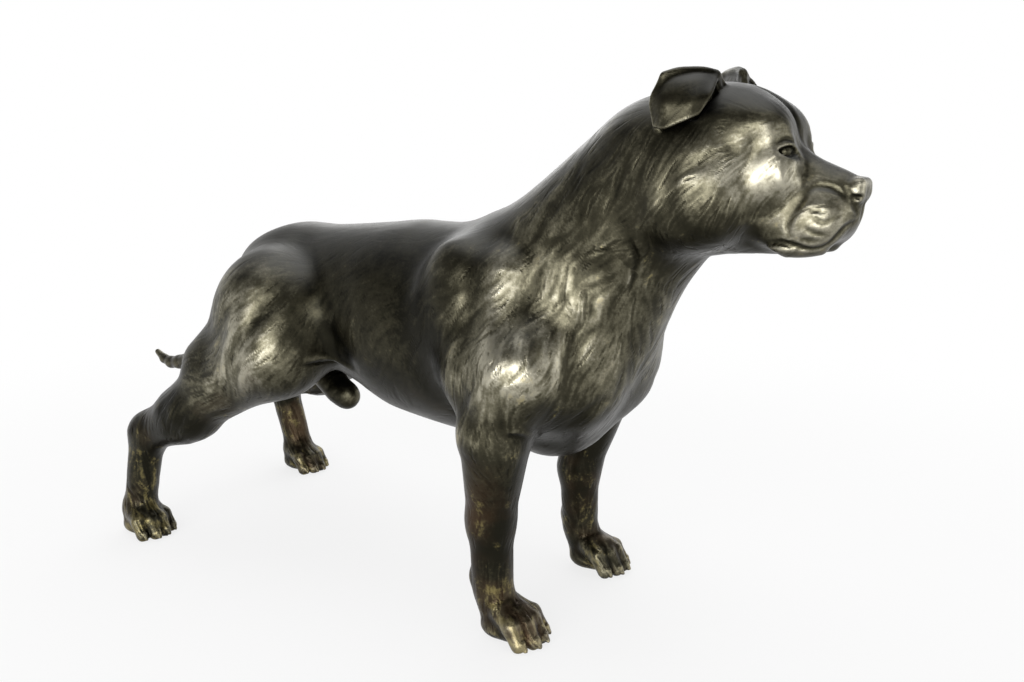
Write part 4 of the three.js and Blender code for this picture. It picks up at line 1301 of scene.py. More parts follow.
@dataclass(frozen=True)
class Sheet(Form):
    """A thin sheet of metal over a net of control points, rounded along its edges."""

    net: tuple[tuple[Point, ...], ...] = ()
    thickness: float = 4.0

    SPACING = 1.5
    FAR_OFF = 14.0
    BATCH = 4000

    @cached_property
    def samples(self) -> tuple[np.ndarray, np.ndarray]:
        """Points that cover the sheet closely, and the sheet's normals there."""
        rows = [curve_through(row, self.SPACING) for row in self.net]
        longest = max(len(row) for row in rows)
        places = np.linspace(0, 1, longest)
        even = [np.stack([np.interp(places, np.linspace(0, 1, len(row)), row[:, i]) for i in range(3)], 1)
                for row in rows]
        columns = [curve_through([tuple(row[i]) for row in even], self.SPACING) for i in range(longest)]
        tallest = max(len(column) for column in columns)
        places = np.linspace(0, 1, tallest)
        grid = np.array([[np.interp(places, np.linspace(0, 1, len(c)), c[:, i]) for i in range(3)]
                         for c in columns]).transpose(0, 2, 1)
        normals = np.cross(np.gradient(grid, axis=0), np.gradient(grid, axis=1))
        normals /= np.maximum(np.linalg.norm(normals, axis=2, keepdims=True), 1e-6)
        return grid.reshape(-1, 3).astype(np.float32), normals.reshape(-1, 3).astype(np.float32)

    def distance(self, points: np.ndarray) -> np.ndarray:
        """The signed distance from points to the sheet's skin.

        Args:
            points: The points to measure from.

        Returns:
            The distances, negative inside.
        """
        samples, normals = self.samples
        low, high = samples.min(0) - self.FAR_OFF, samples.max(0) + self.FAR_OFF
        result = np.full(len(points), self.FAR_OFF, np.float32)
        near = places_in(points, low, high)
        own_squares = (samples**2).sum(1)[None]
        for part in np.array_split(near, max(1, len(near) // self.BATCH)):
            squared = (points[part] ** 2).sum(1)[:, None] + own_squares - 2 * points[part] @ samples.T
            nearest = squared.argmin(1)
            offset = points[part] - samples[nearest]
            height = dots(offset, normals[nearest])
            along = np.sqrt(np.maximum(dots(offset, offset) - height * height, 0))
            result[part] = np.hypot(height, np.maximum(along - self.SPACING, 0)) - self.thickness / 2
        return result

    def ball(self) -> tuple[np.ndarray, float]:
        """Centre and radius of a ball that holds the sheet."""
        points = np.array([p for row in self.net for p in row], np.float32)
        centre = points.mean(0)
        return centre, float(np.linalg.norm(points - centre, axis=1).max()) + self.thickness

    def mirrored(self) -> "Sheet":
        """The same sheet on the other side of the dog."""
        return replace(self, net=tuple(tuple(on_side(p, Side.RIGHT) for p in row) for row in self.net))


@dataclass
class Ears:
    """Small ears that stand up from the skull and fold over outward."""

    bones: Skeleton
    leaf_thickness: float = 3.6
    root_thickness: float = 6.0
    ridge: tuple[Point, ...] = ((17, -28, 20), (10, -20, 22), (2, -12, 22), (-6, -4, 21), (-14, 2, 18))
    right_drop: float = 3.0
    left_rise: float = 1.5

    def leaf(self) -> Sheet:
        """The hanging leaf of the left ear, from its ridge to its free edge."""
        net = (
            self.ridge,
            ((21, -13, 12), (13, -5, 13), (4, 2, 12), (-7, 6, 11), (-18, 7, 9)),
            ((22, -1, 2), (14, 7, -1), (3, 12, -3), (-9, 14, -3), (-21, 10, -2)),
            ((17, 6, -10), (10, 12, -14), (1, 15, -18), (-8, 15, -21), (-17, 11, -20)),
        )
        return self.sheet(self.bones.ear, net, self.leaf_thickness)

    def root(self) -> Sheet:
        """The wall that carries the left ear's ridge."""
        net = (
            self.ridge,
            ((21, -33, 9), (11, -23, 10), (0, -13, 8), (-9, -5, 5), (-16, 2, 0)),
            ((22, -32, -8), (13, -24, -8), (1, -14, -12), (-9, -6, -17), (-17, 2, -22)),
        )
        return self.sheet(self.bones.ear, net, self.root_thickness)

    def roll(self) -> Form:
        """The thick roll where the left ear's edge turns in at its front."""
        ear = self.bones.ear
        return bone(moved(ear, 18, -27, 17), moved(ear, 23, -26, -2), 3.6, 3.0, Blend.CREASE)

    def stem(self) -> Form:
        """The stem in the left ear's fold, where the ear grows from the skull."""
        ear = self.bones.ear
        return bone(moved(ear, 10, -25, -4), moved(ear, 12.6, -19.2, 11.5), 4.6, 4.6, Blend.CREASE)

    def sheet(self, at: Point, net: Sequence[Sequence[Point]], thickness: float) -> Sheet:
        """A sheet whose net is given from a point."""
        return Sheet(blend=Blend.CREASE, net=tuple(tuple(moved(at, *p) for p in row) for row in net),
                     thickness=thickness)

    def forms(self) -> list[Form]:
        """The forms of both ears."""
        pair = []
        for side, lift in ((Side.LEFT, self.left_rise), (Side.RIGHT, -self.right_drop)):
            ears = replace(self, bones=replace(self.bones, ear_lift=lift))
            pair += placed([ears.root(), ears.roll(), ears.stem(), ears.leaf()], side)
        return pair


class Lattice:
    """Smooth random values throughout space, the same at each run."""

    SIZE = 48

    def __init__(self, seed: int) -> None:
        """Draws the values at the lattice's corners."""
        self.values = np.random.default_rng(seed).standard_normal((self.SIZE,) * 3).astype(np.float32)

    def at(self, points: np.ndarray, cell: float) -> np.ndarray:
        """The value at each point.

        Args:
            points: The points to look at.
            cell: How far apart the lattice's corners lie.

        Returns:
            The values.
        """
        scaled = points / cell
        low = np.floor(scaled).astype(int)
        share = scaled - low
        share = share * share * (3 - 2 * share)
        total = np.zeros(len(points), np.float32)
        for corner in Shell.CORNERS:
            weight = np.prod(np.where(corner, share, 1 - share), axis=1)
            i, j, k = ((low + corner) % self.SIZE).T
            total += weight * self.values[i, j, k]
        return total


@dataclass(frozen=True)
class Lock:
    """A place on the coat, the way its hair lies, how deeply it is combed in, and how far it is rubbed, a
    value that also places painted highlights and painted shade.
    """

    at: Point
    way: Point
    reach: float
    strength: float = 1.0
    wear_and_painted_light: float = 0.3


@dataclass
class Coat:
    """The coat, combed into the metal as streaks that follow the lie of the hair."""

    bones: Skeleton
    seed: int = 7
    fine_cell: float = 2.8
    fine_length: float = 26
    broad_cell: float = 8.0
    broad_length: float = 56
    samples: int = 21
    swirl_cell: float = 30
    swirl: float = 0.55

    def locks(self) -> list[Lock]:
        """The lie of the hair over the left side."""
        b = self.bones
        # The last number of each lock is partly real rubbing and partly painted light: high values paint
        # highlights on the cheek plane, flews, neck, shoulder and thigh; low values paint shade on the
        # forehead, under the eye towards the muzzle, in the ear's fold, behind the shoulder and under the
        # brisket.
        return [
            Lock(moved(b.nose, -20, 20, 0), (-1, 0.1, 0.2), 30, 0.25, 0.3),
            Lock(moved(b.muzzle_tip, -14, 30, -12), (-0.9, 0.1, -0.5), 26, 0.7, 1.3),
            # Painted shade on the side of the muzzle below the eye.
            Lock(moved(b.muzzle, 0, 30, 0), (-0.6, 0.2, -0.8), 26, 0.6, -0.9),
            Lock(moved(b.eye, 2, 4, 0), (-0.6, 0.2, -0.8), 8, 0.2, -0.8),
            Lock(moved(b.skull, 50, 20, 50), (-1, 0.3, 0.3), 34, 0.25, -0.7),
            Lock(moved(b.skull, 45, 55, 5), (-0.3, 0.1, -1), 26, 0.7, 1.3),
            Lock(moved(b.skull, 20, 75, -35), (-0.5, 0.1, -0.9), 28, 1.0, 0.8),
            Lock(moved(b.skull, 30, 60, -75), (1, 0.1, -0.15), 26, 0.9, -0.7),
            Lock(moved(b.skull, -30, 60, -20), (-0.3, 0, -1), 34, 0.9, 0.35),
            Lock(moved(b.skull, -20, 20, 50), (-1, 0.1, -0.4), 34, 0.2, 0.0),
            Lock(moved(b.ear, 0, 12, 0), (-0.5, 0.2, -0.9), 22, 0.2, -0.1),
            # Painted shade in the ear's fold.
            Lock(moved(b.ear, 15, -16, -5), (-0.5, 0.2, -0.9), 9, 0.1, -4.0),
            Lock(moved(b.neck_top, -50, 60, 10), (-0.7, 0.1, -0.9), 44, 1.0, 0.3),
            Lock(moved(b.neck_base, 40, 70, 0), (-0.55, 0.1, -0.9), 48, 1.0, 0.85),
            Lock(moved(b.neck_top, 10, 45, -60), (-0.5, 0.3, -1), 40, 0.9, 0.4),
            Lock(moved(b.neck_base, 60, 30, 90), (-1, 0.2, -0.7), 44, 0.25, 0.1),
            Lock(moved(b.neck_base, 70, 25, -60), (-0.2, 0.1, -1), 44, 0.7, 0.5),
            Lock(moved(b.forechest, 65, 40, 10), (-0.2, -0.5, -0.9), 44, 0.9, 0.6),
            # Painted highlight on the cheek plane below the eye.
            Lock(moved(b.skull, 62, 42, -20), (-0.2, 0.1, -1), 24, 0.7, 3.2),
            Lock(moved(b.brisket, 30, 45, -20), (-0.6, 0.1, -0.6), 40, 0.6, -0.9),
            Lock(moved(b.shoulder, 10, 20, 10), (-0.6, 0.1, -0.9), 44, 1.0, 0.75),
            Lock(moved(b.shoulder, -38, 25, 30), (-0.35, 0.1, -1), 34, 0.9, 1.2),
            Lock(moved(b.shoulder, -92, 15, 15), (-0.3, 0.1, -1), 32, 0.8, -1.1),
            Lock(moved(b.shoulder, -30, 25, -30), (0.5, 0, -0.9), 34, 1.0, 0.7),
            Lock(moved(b.withers, 0, 30, 10), (-1, 0.1, -0.1), 60, 0.1, 0),
            Lock(moved(b.chest, -40, 90, 0), (-0.3, 0, -1), 60, 0.6, 0.1),
            Lock(moved(b.chest, -40, 60, -70), (-0.7, 0, -0.6), 60, 0.5, -0.3),
            Lock(moved(b.loin, -60, 40, 30), (-1, 0.1, -0.1), 70, 0.1, 0),
            Lock(moved(b.rump, 60, 80, -20), (-0.3, 0, -1), 50, 0.5, 0.25),
            Lock(moved(b.hip, 10, 45, -10), (-0.7, 0, -0.8), 40, 1.0, 1.4),
            Lock(moved(b.stifle, -20, 35, 0), (-0.8, 0, -0.6), 40, 1.0, 0.9),
            Lock(moved(b.hip, -60, 30, 0), (-0.5, 0, -0.9), 50, 0.5, -0.25),
            Lock(moved(b.calf_end(Side.RIGHT), 60, 25, 42), (-0.8, 0, -0.6), 26, 1.0, 0.6),
            Lock(moved(b.calf_end(Side.RIGHT), 10, 25, -10), (-0.8, 0, -0.6), 36, 1.0, -0.45),
            Lock((b.hindpaw_x + 20, b.hind_track / 2, 90), (0.1, 0, -1), 44, 1.0, -0.1),
            Lock((b.hindpaw_x + 30, b.hind_track / 2, 20), (1, 0, -0.5), 30, 1.2, 0.2),
            Lock(moved(b.elbow, 0, 20, -40), (0, 0, -1), 40, 0.7, -0.35),
            Lock((b.forepaw_x - 8, b.fore_track / 2, 100), (0, 0, -1), 44, 0.7, -0.4),
            Lock((b.forepaw_x + 26, b.fore_track / 2, 25), (1, 0, -0.6), 30, 1.3, 0.4),
            Lock(b.along_tail(0.4, 0.6), (-0.8, 0, -0.6), 70, 0.3, 0.1),
        ]

    def lie(self, points: np.ndarray) -> tuple[np.ndarray, np.ndarray, np.ndarray]:
        """How the coat lies.

        Args:
            points: The points to look at.

        Returns:
            The way that the hair lies at each, how deeply it is combed in, and how far it is rubbed, with
            painted highlights and painted shade in that last value.
        """
        total = np.zeros((len(points), 3), np.float32)
        strength, wear_and_painted_light = (np.zeros(len(points), np.float32) for _ in range(2))
        weights = np.full(len(points), 1e-9, np.float32)
        folded = points.copy()
        folded[:, 1] = np.abs(folded[:, 1])
        for lock in self.locks():
            offset = folded - np.asarray(lock.at, np.float32)
            weight = np.exp(-dots(offset, offset) / (2 * lock.reach**2))
            total += weight[:, None] * unit(lock.way).astype(np.float32)
            strength += weight * lock.strength
            wear_and_painted_light += weight * lock.wear_and_painted_light
            weights += weight
        total[:, 1] *= np.sign(points[:, 1])
        return total / weights[:, None], strength / weights, wear_and_painted_light / weights

    def combed(self, points: np.ndarray, normals: np.ndarray) -> tuple[np.ndarray, ...]:
        """Streaks along the hair.

        Args:
            points: Points of the skin.
            normals: The skin's normals there.

        Returns:
            Fine streaks and broad streaks, both about -1 to 1, how deeply they are combed in, and how
            far the skin is rubbed, which also carries painted highlights and painted shade.
        """
        way, strength, wear_and_painted_light = self.lie(points)
        bend = Lattice(self.seed).at(points, self.swirl_cell) * self.swirl
        side = np.cross(normals, way)
        way = way + side * bend[:, None]
        way -= dots(way, normals)[:, None] * normals
        way /= np.maximum(np.linalg.norm(way, axis=1), 1e-3)[:, None]
        fine, broad = Lattice(self.seed + 1), Lattice(self.seed + 2)
        fine_total, broad_total = (np.zeros(len(points), np.float32) for _ in range(2))
        for i, share in enumerate(np.linspace(-0.5, 0.5, self.samples)):
            weight = math.cos(share * math.pi * 0.9)
            fine_total += weight * fine.at(points + way * share * self.fine_length, self.fine_cell)
            if i % 2 == 0:
                broad_total += weight * broad.at(points + way * share * self.broad_length, self.broad_cell)
        fine_total /= fine_total.std() * 2
        broad_total /= broad_total.std() * 2
        return fine_total, broad_total, strength, wear_and_painted_light


@dataclass
class Dog:
    """The whole animal: one skin, which the castings are cut from."""

    bones: Skeleton

    def forms(self) -> list[Form]:
        """Every form of the dog but the ears."""
        b = self.bones
        groups = [Trunk(b), Neck(b), Shoulders(b), Thighs(b), *(Foreleg(b, side) for side in Side),
                  *(HindLeg(b, side) for side in Side), Tail(b), Sheath(b), Head(b)]
        return [form for group in groups for form in group.forms()]

    def strokes(self) -> list[Stroke]:
        """Every stroke of the sculptor's tool."""
        b = self.bones
        groups = [Trunk(b), Neck(b), Shoulders(b), Thighs(b), Head(b)]
        return [mark for group in groups for mark in group.strokes()]


@dataclass
class Casting:
    """One section of the statue, as it left the foundry's mould."""

    name: str
    low: Point
    high: Point
    step: float
    cuts: list[Seam]
    home: Seam | None = None

    WALL = 6.0

    def wanted(self, centres: np.ndarray, size: float) -> np.ndarray:
        """Which grid cells the casting needs.

        Args:
            centres: The cells' middles.
            size: Their size.

        Returns:
            True for each cell that it needs.
        """
        keep = np.ones(len(centres), bool) if self.home is None else self.home.holds(centres)
        for seam in self.cuts:
            keep &= ~((seam.depth(centres) > size * 0.9 + self.step * 2) & seam.holds(centres))
        return keep

    def shell(self, skin: Skin) -> Shell:
        """The casting's outer skin, trimmed at its seams.

        Args:
            skin: The skin that the casting is cut from.

        Returns:
            The casting's shell.
        """
        low, high = np.asarray(self.low, float), np.asarray(self.high, float)
        own = skin.part(low, high)
        shell = Shell.over(own, low, high, self.step, self.wanted)
        for seam in self.cuts:
            shell.trim(seam, own, self.WALL)
        shell.compact()
        shell.keep_largest()
        return shell


@dataclass
class Foundry:
    """Where the statue is cut into castings, and how finely each is modelled."""

    bones: Skeleton
    barrel_seam_x: float = -35
    neck_seam_share: float = 0.74
    foreleg_seam_height: float = 148
    hindleg_seam_share: float = 0.74
    tail_seam_share: float = 0.12
    sheath_seam_share: float = 0.42
    body_step: float = 2.0
    head_step: float = 1.2
    leg_step: float = 1.5
    fine: float = 1.0

    def barrel_seam(self) -> Seam:
        """The seam around the barrel, behind the ribs, seen from the front."""
        return Seam((self.barrel_seam_x, 0, self.bones.chest_height), (-1, 0, 0))

    def neck_seam(self) -> Seam:
        """The seam around the neck, seen from the chest."""
        base, top = self.bones.neck_base, self.bones.neck_top
        return Seam.across(base, top, self.neck_seam_share)

    def foreleg_seam(self, side: Side) -> Seam:
        """The seam above a fore knee, seen from the chest."""
        x, y, _ = self.bones.fore_ankle(side)
        return Seam(on_side((x - 8, y + 2, self.foreleg_seam_height), side), (0, 0, -1), room=(200, 190, 120))

    def hindleg_seam(self, side: Side) -> Seam:
        """The seam above a hock, seen from the rump."""
        start, end = (on_side(p, side) for p in (self.bones.calf_start, self.bones.calf_end(side)))
        return Seam.across(start, end, self.hindleg_seam_share, (330, 280, 136), 12 * side.value)

    def tail_seam(self) -> Seam:
        """The seam at the root of the tail, seen from the rump."""
        (bend, _), (middle, _) = Tail(self.bones).path()[1:3]
        return Seam.across(bend, middle, self.tail_seam_share, (250, 170, 64))

    def sheath_seam(self) -> Seam:
        """The seam at the root of the sheath, seen from the belly."""
        return Seam.across(self.bones.sheath_root, self.bones.sheath_end, self.sheath_seam_share,
                           (100, 50, 50))

    def castings(self) -> list[Casting]:
        """Every casting, by the name of the node that it stands for."""
        b = self.bones
        body, face, leg = (step * self.fine for step in (self.body_step, self.head_step, self.leg_step))
        barrel, neck = self.barrel_seam(), self.neck_seam()
        tail, sheath = self.tail_seam(), self.sheath_seam()
        forelegs = [self.foreleg_seam(side) for side in Side]
        hindlegs = [self.hindleg_seam(side) for side in Side]
        rear = b.tail_end[0]
        castings = [
            Casting("head_casting", moved(neck.point, -60, -100, -95), moved(b.nose, 20, 100, 130), face,
                    [neck.turned()]),
            Casting("forequarter_casting", (self.barrel_seam_x - 4, -160, 135),
                    moved(neck.point, 60, 160, 90), body, [neck, barrel, *forelegs]),
            Casting("hindquarter_casting", (b.rump_x - 150, -170, 130), (self.barrel_seam_x + 4, 170, 440),
                    body, [barrel.turned(), tail, sheath, *hindlegs]),
            Casting("tail_casting", (rear - 16, -34, 150), moved(b.tail_root, 20, 34, 20), leg,
                    [tail.turned()], tail),
            Casting("sheath_casting", moved(b.sheath_end, -80, -34, -30), moved(b.sheath_root, 100, 34, 20),
                    leg, [sheath.turned()], sheath),
        ]
        for side in Side:
            x, y, _ = on_side(b.fore_ankle(side), side)
            seam = self.foreleg_seam(side)
            castings.append(Casting(f"foreleg_{side.word}", (x - 60, y - 56, -3), (x + 76, y + 56, 154), leg,
                                    [seam.turned(), self.ground()], seam))
            x, y, _ = on_side(b.hind_ankle(side), side)
            seam = self.hindleg_seam(side)
            castings.append(Casting(f"hindleg_{side.word}", (x - 50, y - 66, -3), (x + 190, y + 66, 270), leg,
                                    [seam.turned(), self.ground()], seam))
        return castings

    def ground(self) -> Seam:
        """The flat that the soles are ground to."""
        return Seam((0, 0, 0), (0, 0, -1), is_capped=True)


class Socket:
    """A node's output, which takes part in sums with others and with plain numbers."""

    def __init__(self, nodes: "Nodes", output: bpy.types.NodeSocket) -> None:
        """Wraps an output."""
        self.nodes = nodes
        self.output = output

    def _maths(self, operation: str, *others: "Socket | float") -> "Socket":
        """A Math node over this value and others."""
        return self.nodes.add("ShaderNodeMath", {"operation": operation}, dict(enumerate((self, *others))))

    def __add__(self, other: "Socket | float") -> "Socket":
        """The sum."""
        return self._maths("ADD", other)

    def __sub__(self, other: "Socket | float") -> "Socket":
        """The difference."""
        return self._maths("SUBTRACT", other)

    def __rsub__(self, other: float) -> "Socket":
        """The difference from a number."""
        return self.nodes.add("ShaderNodeMath", {"operation": "SUBTRACT"}, {0: other, 1: self})

    def __mul__(self, other: "Socket | float") -> "Socket":
        """The product."""
        return self._maths("MULTIPLY", other)

    __radd__ = __add__
    __rmul__ = __mul__

    def step(self, low: float, high: float) -> "Socket":
        """Rises smoothly from 0 at low to 1 at high."""
        return self.nodes.add("ShaderNodeMapRange", {"interpolation_type": "SMOOTHSTEP"},
                              {"Value": self, "From Min": low, "From Max": high})


class Nodes:
    """A node tree that is written as expressions."""

    def __init__(self, tree: bpy.types.NodeTree) -> None:
        """Starts from an empty tree."""
        self.tree = tree
        tree.nodes.clear()

    @classmethod
    def in_material(cls, name: str) -> tuple[bpy.types.Material, "Nodes"]:
        """A new material, with its tree empty.

        Args:
            name: The material's name.

        Returns:
            The material and its tree.
        """
        material = bpy.data.materials.new(name)
        material.use_nodes = True
        return material, cls(material.node_tree)

    def add(self, kind: str, settings: dict[str, object] | None = None,
            inputs: dict[str | int, object] | None = None, output: str | int = 0) -> Socket | None:
        """Adds a node.

        Args:
            kind: The node's type.
            settings: Its own settings, set before its sockets.
            inputs: Values or links of its sockets, by name or number.
            output: The output to return.

        Returns:
            The wanted output, or None where the node has none.
        """
        node = self.tree.nodes.new(kind)
        for name, value in (settings or {}).items():
            setattr(node, name, value)
        for name, value in (inputs or {}).items():
            socket = node.inputs[name]
            if isinstance(value, Socket):
                self.tree.links.new(value.output, socket)
            else:
                socket.default_value = value
        return Socket(self, node.outputs[output]) if len(node.outputs) else None

    def place(self) -> Socket:
        """The place of a point on the object, in metres."""
        return self.add("ShaderNodeTexCoord", output="Object")

    def noise(self, at: Socket, scale: float, detail: float = 3, roughness: float = 0.55) -> Socket:
        """Cloudy noise, about 0.5, with a scale in waves per metre."""
        return self.add("ShaderNodeTexNoise", None,
                        {"Vector": at, "Scale": scale, "Detail": detail, "Roughness": roughness})

    def attribute(self, name: str) -> Socket:
        """A value that each point of the mesh carries."""
        return self.add("ShaderNodeAttribute", {"attribute_name": name}, output="Fac")

    def part(self, vector: Socket, axis: str) -> Socket:
        """One of a vector's three numbers."""
        return self.add("ShaderNodeSeparateXYZ", None, {0: vector}, output=axis)

    def mix(self, share: Socket | float, first: Socket | Point, second: Socket | Point) -> Socket:
        """Two colours mixed."""
        first, second = (c if isinstance(c, Socket) else (*c, 1) for c in (first, second))
        return self.add("ShaderNodeMix", {"data_type": "RGBA"}, {0: share, 6: first, 7: second}, output=2)

    def ray(self, kind: str) -> Socket:
        """Is 1 for rays of one kind."""
        return self.add("ShaderNodeLightPath", output=kind)

    def seen(self) -> Socket:
        """Is 1 for what the camera sees, straight or in the metal."""
        return self.ray("Is Camera Ray") + self.ray("Is Glossy Ray") + self.ray("Is Transmission Ray")


@dataclass(frozen=True)
class BronzePatina:
    """Statuary bronze with a dark waxed patina, rubbed through on what stands proud, with painted highlights,
    painted shade and a painted grey sheen in its colour.
    """

    # Patina colours from hollow to rubbed; where the rub mask holds painted light, the palest two give
    # painted highlights and the darkest gives painted shade.
    recess_and_shade: Point = (0.012, 0.011, 0.006)
    dark: Point = (0.046, 0.042, 0.026)
    worn_and_highlight: Point = (0.158, 0.146, 0.098)
    bright: Point = (0.520, 0.490, 0.385)
    gold: Point = (0.300, 0.245, 0.090)
    rust: Point = (0.085, 0.043, 0.020)
    # Painted shade: the dark colour given to faces turned down.
    painted_shade_colour: Point = (0.014, 0.013, 0.008)
    # Painted sheen: the pale grey given to faces turned up.
    painted_sheen_colour: Point = (0.140, 0.140, 0.134)
    gold_share: float = 0.55
    rust_share: float = 0.5
    painted_shade_share: float = 0.85
    painted_sheen_share: float = 0.7
    roughness: float = 0.36
    coat_weight: float = 0.13
    coat_roughness: float = 0.28
    pit_depth: float = 0.0004
    paw_height: tuple[float, float] = (0.05, 0.22)
    leg_height: tuple[float, float] = (0.14, 0.32)

    def material(self) -> bpy.types.Material:
        """Builds the finish."""
        material, nodes = Nodes.in_material("bronze_patina")
        at = nodes.place()
        clouds = nodes.noise(at, 11, 4)
        patches = nodes.noise(at, 60, 5, 0.62)
        specks = nodes.noise(at, 320, 4, 0.7)
        grain = nodes.noise(at, 900, 3)
        streak, sweep, proud, wear_and_painted_light, facing_down_shade, facing_up_sheen = (
            nodes.attribute(name) for name in ("streak", "sweep", "proud", "wear_and_painted_light", "facing_down_shade", "facing_up_sheen"))
        height = nodes.part(at, "Z")
        by_paws = 1 - height.step(*self.paw_height)
        on_legs = 1 - height.step(*self.leg_height)
        # How far the patina is rubbed through to bright metal; the locks' share of it also lays painted
        # highlights and painted shade into the colour.
        rub_and_painted_light = (streak * 0.3 + sweep * 0.22 + proud * 0.5 + (clouds - 0.5) * 1.1 + (patches - 0.5) * 1.4
               + (specks - 0.5) * 0.9 + wear_and_painted_light * 1.15 - 0.3)
        golden = ((patches - 0.5) * 2.6 + (specks - 0.5) * 1.2 + streak * 0.4 + sweep * 0.3
                  + rub_and_painted_light * 0.25 + by_paws * 0.6).step(0.5, 1.3)
        rusty = ((clouds - 0.5) * 2.6 + on_legs * 0.7 - 0.35).step(0.1, 0.9)
        colour = nodes.mix((rub_and_painted_light + 0.5).step(-0.2, 0.6), self.recess_and_shade, self.dark)
        # Among these layers, faces turned down get painted shade and upward faces high on the statue get a
        # painted grey sheen.
        layers = ((rub_and_painted_light.step(0.0, 0.7), self.worn_and_highlight), (rub_and_painted_light.step(0.5, 1.4), self.bright),
                  (rusty * self.rust_share, self.rust), (facing_up_sheen * self.painted_sheen_share, self.painted_sheen_colour),
                  (facing_down_shade * self.painted_shade_share, self.painted_shade_colour), (golden * self.gold_share, self.gold))
        for share, layer in layers:
            colour = nodes.mix(share, colour, layer)
        rough = self.roughness + (patches - 0.5) * 0.22 - rub_and_painted_light.step(0.2, 1.2) * 0.05 + facing_up_sheen * 0.16
        bump = nodes.add("ShaderNodeBump", None, {"Strength": 0.3, "Distance": self.pit_depth,
                                                  "Height": grain + patches * 0.8})
        shader = nodes.add("ShaderNodeBsdfPrincipled", None, {
            "Base Color": colour, "Metallic": 1.0, "Roughness": rough,
            "Coat Weight": (1 - facing_down_shade) * self.coat_weight, "Coat Roughness": self.coat_roughness,
            "Normal": bump})
        nodes.add("ShaderNodeOutputMaterial", None, {"Surface": shader})
        return material


@dataclass(frozen=True)
class BareBronze:
    """Bronze as it comes from the mould, inside the seams."""

    colour: Point = (0.42, 0.33, 0.19)
    shade: float = 0.6
    roughness: float = 0.3
    skin_scale: float = 160
    skin_depth: float = 0.0006

    def material(self) -> bpy.types.Material:
        """Builds the finish."""
        material, nodes = Nodes.in_material("bare_bronze")
        skin = nodes.noise(nodes.place(), self.skin_scale, 4)
        colour = nodes.mix(skin, tuple(c * self.shade for c in self.colour), self.colour)
        bump = nodes.add("ShaderNodeBump", None,
                         {"Strength": 0.4, "Distance": self.skin_depth, "Height": skin})
        shader = nodes.add("ShaderNodeBsdfPrincipled", None, {
            "Base Color": colour, "Metallic": 1.0, "Roughness": self.roughness + skin * 0.3, "Normal": bump})
        nodes.add("ShaderNodeOutputMaterial", None, {"Surface": shader})
        return material


@dataclass(frozen=True)
class PalePaper:
    """Pale paper that takes the statue's shadow and fades to white away from it."""

    paper: float = 0.82
    near_white: float = 0.78
    fade: tuple[float, float] = (0.5, 1.4)
    mirrored_white: float = 0.45

    def material(self) -> bpy.types.Material:
        """Builds the finish."""
        material, nodes = Nodes.in_material("pale_floor")
        away = nodes.add("ShaderNodeVectorMath", {"operation": "LENGTH"}, {0: nodes.place()}, output="Value")
        paper = nodes.add("ShaderNodeBsdfDiffuse", None, {"Color": (*(self.paper,) * 3, 1)})
        glow = nodes.add("ShaderNodeEmission", None, {"Color": (1, 1, 1, 1), "Strength": 1.0})
        white = self.near_white + away.step(*self.fade) * (1 - self.near_white)
        camera = nodes.ray("Is Camera Ray")
        share = camera * white + (nodes.seen() - camera) * self.mirrored_white
        both = nodes.add("ShaderNodeMixShader", None, {0: share, 1: paper, 2: glow})
        nodes.add("ShaderNodeOutputMaterial", None, {"Surface": both})
        return material


def in_scene(name: str, data: bpy.types.ID) -> bpy.types.Object:
    """A new object in the scene.

    Args:
        name: The object's name.
        data: Its mesh, lamp or camera.

    Returns:
        The object.
    """
    made = bpy.data.objects.new(name, data)
    bpy.context.scene.collection.objects.link(made)
    return made


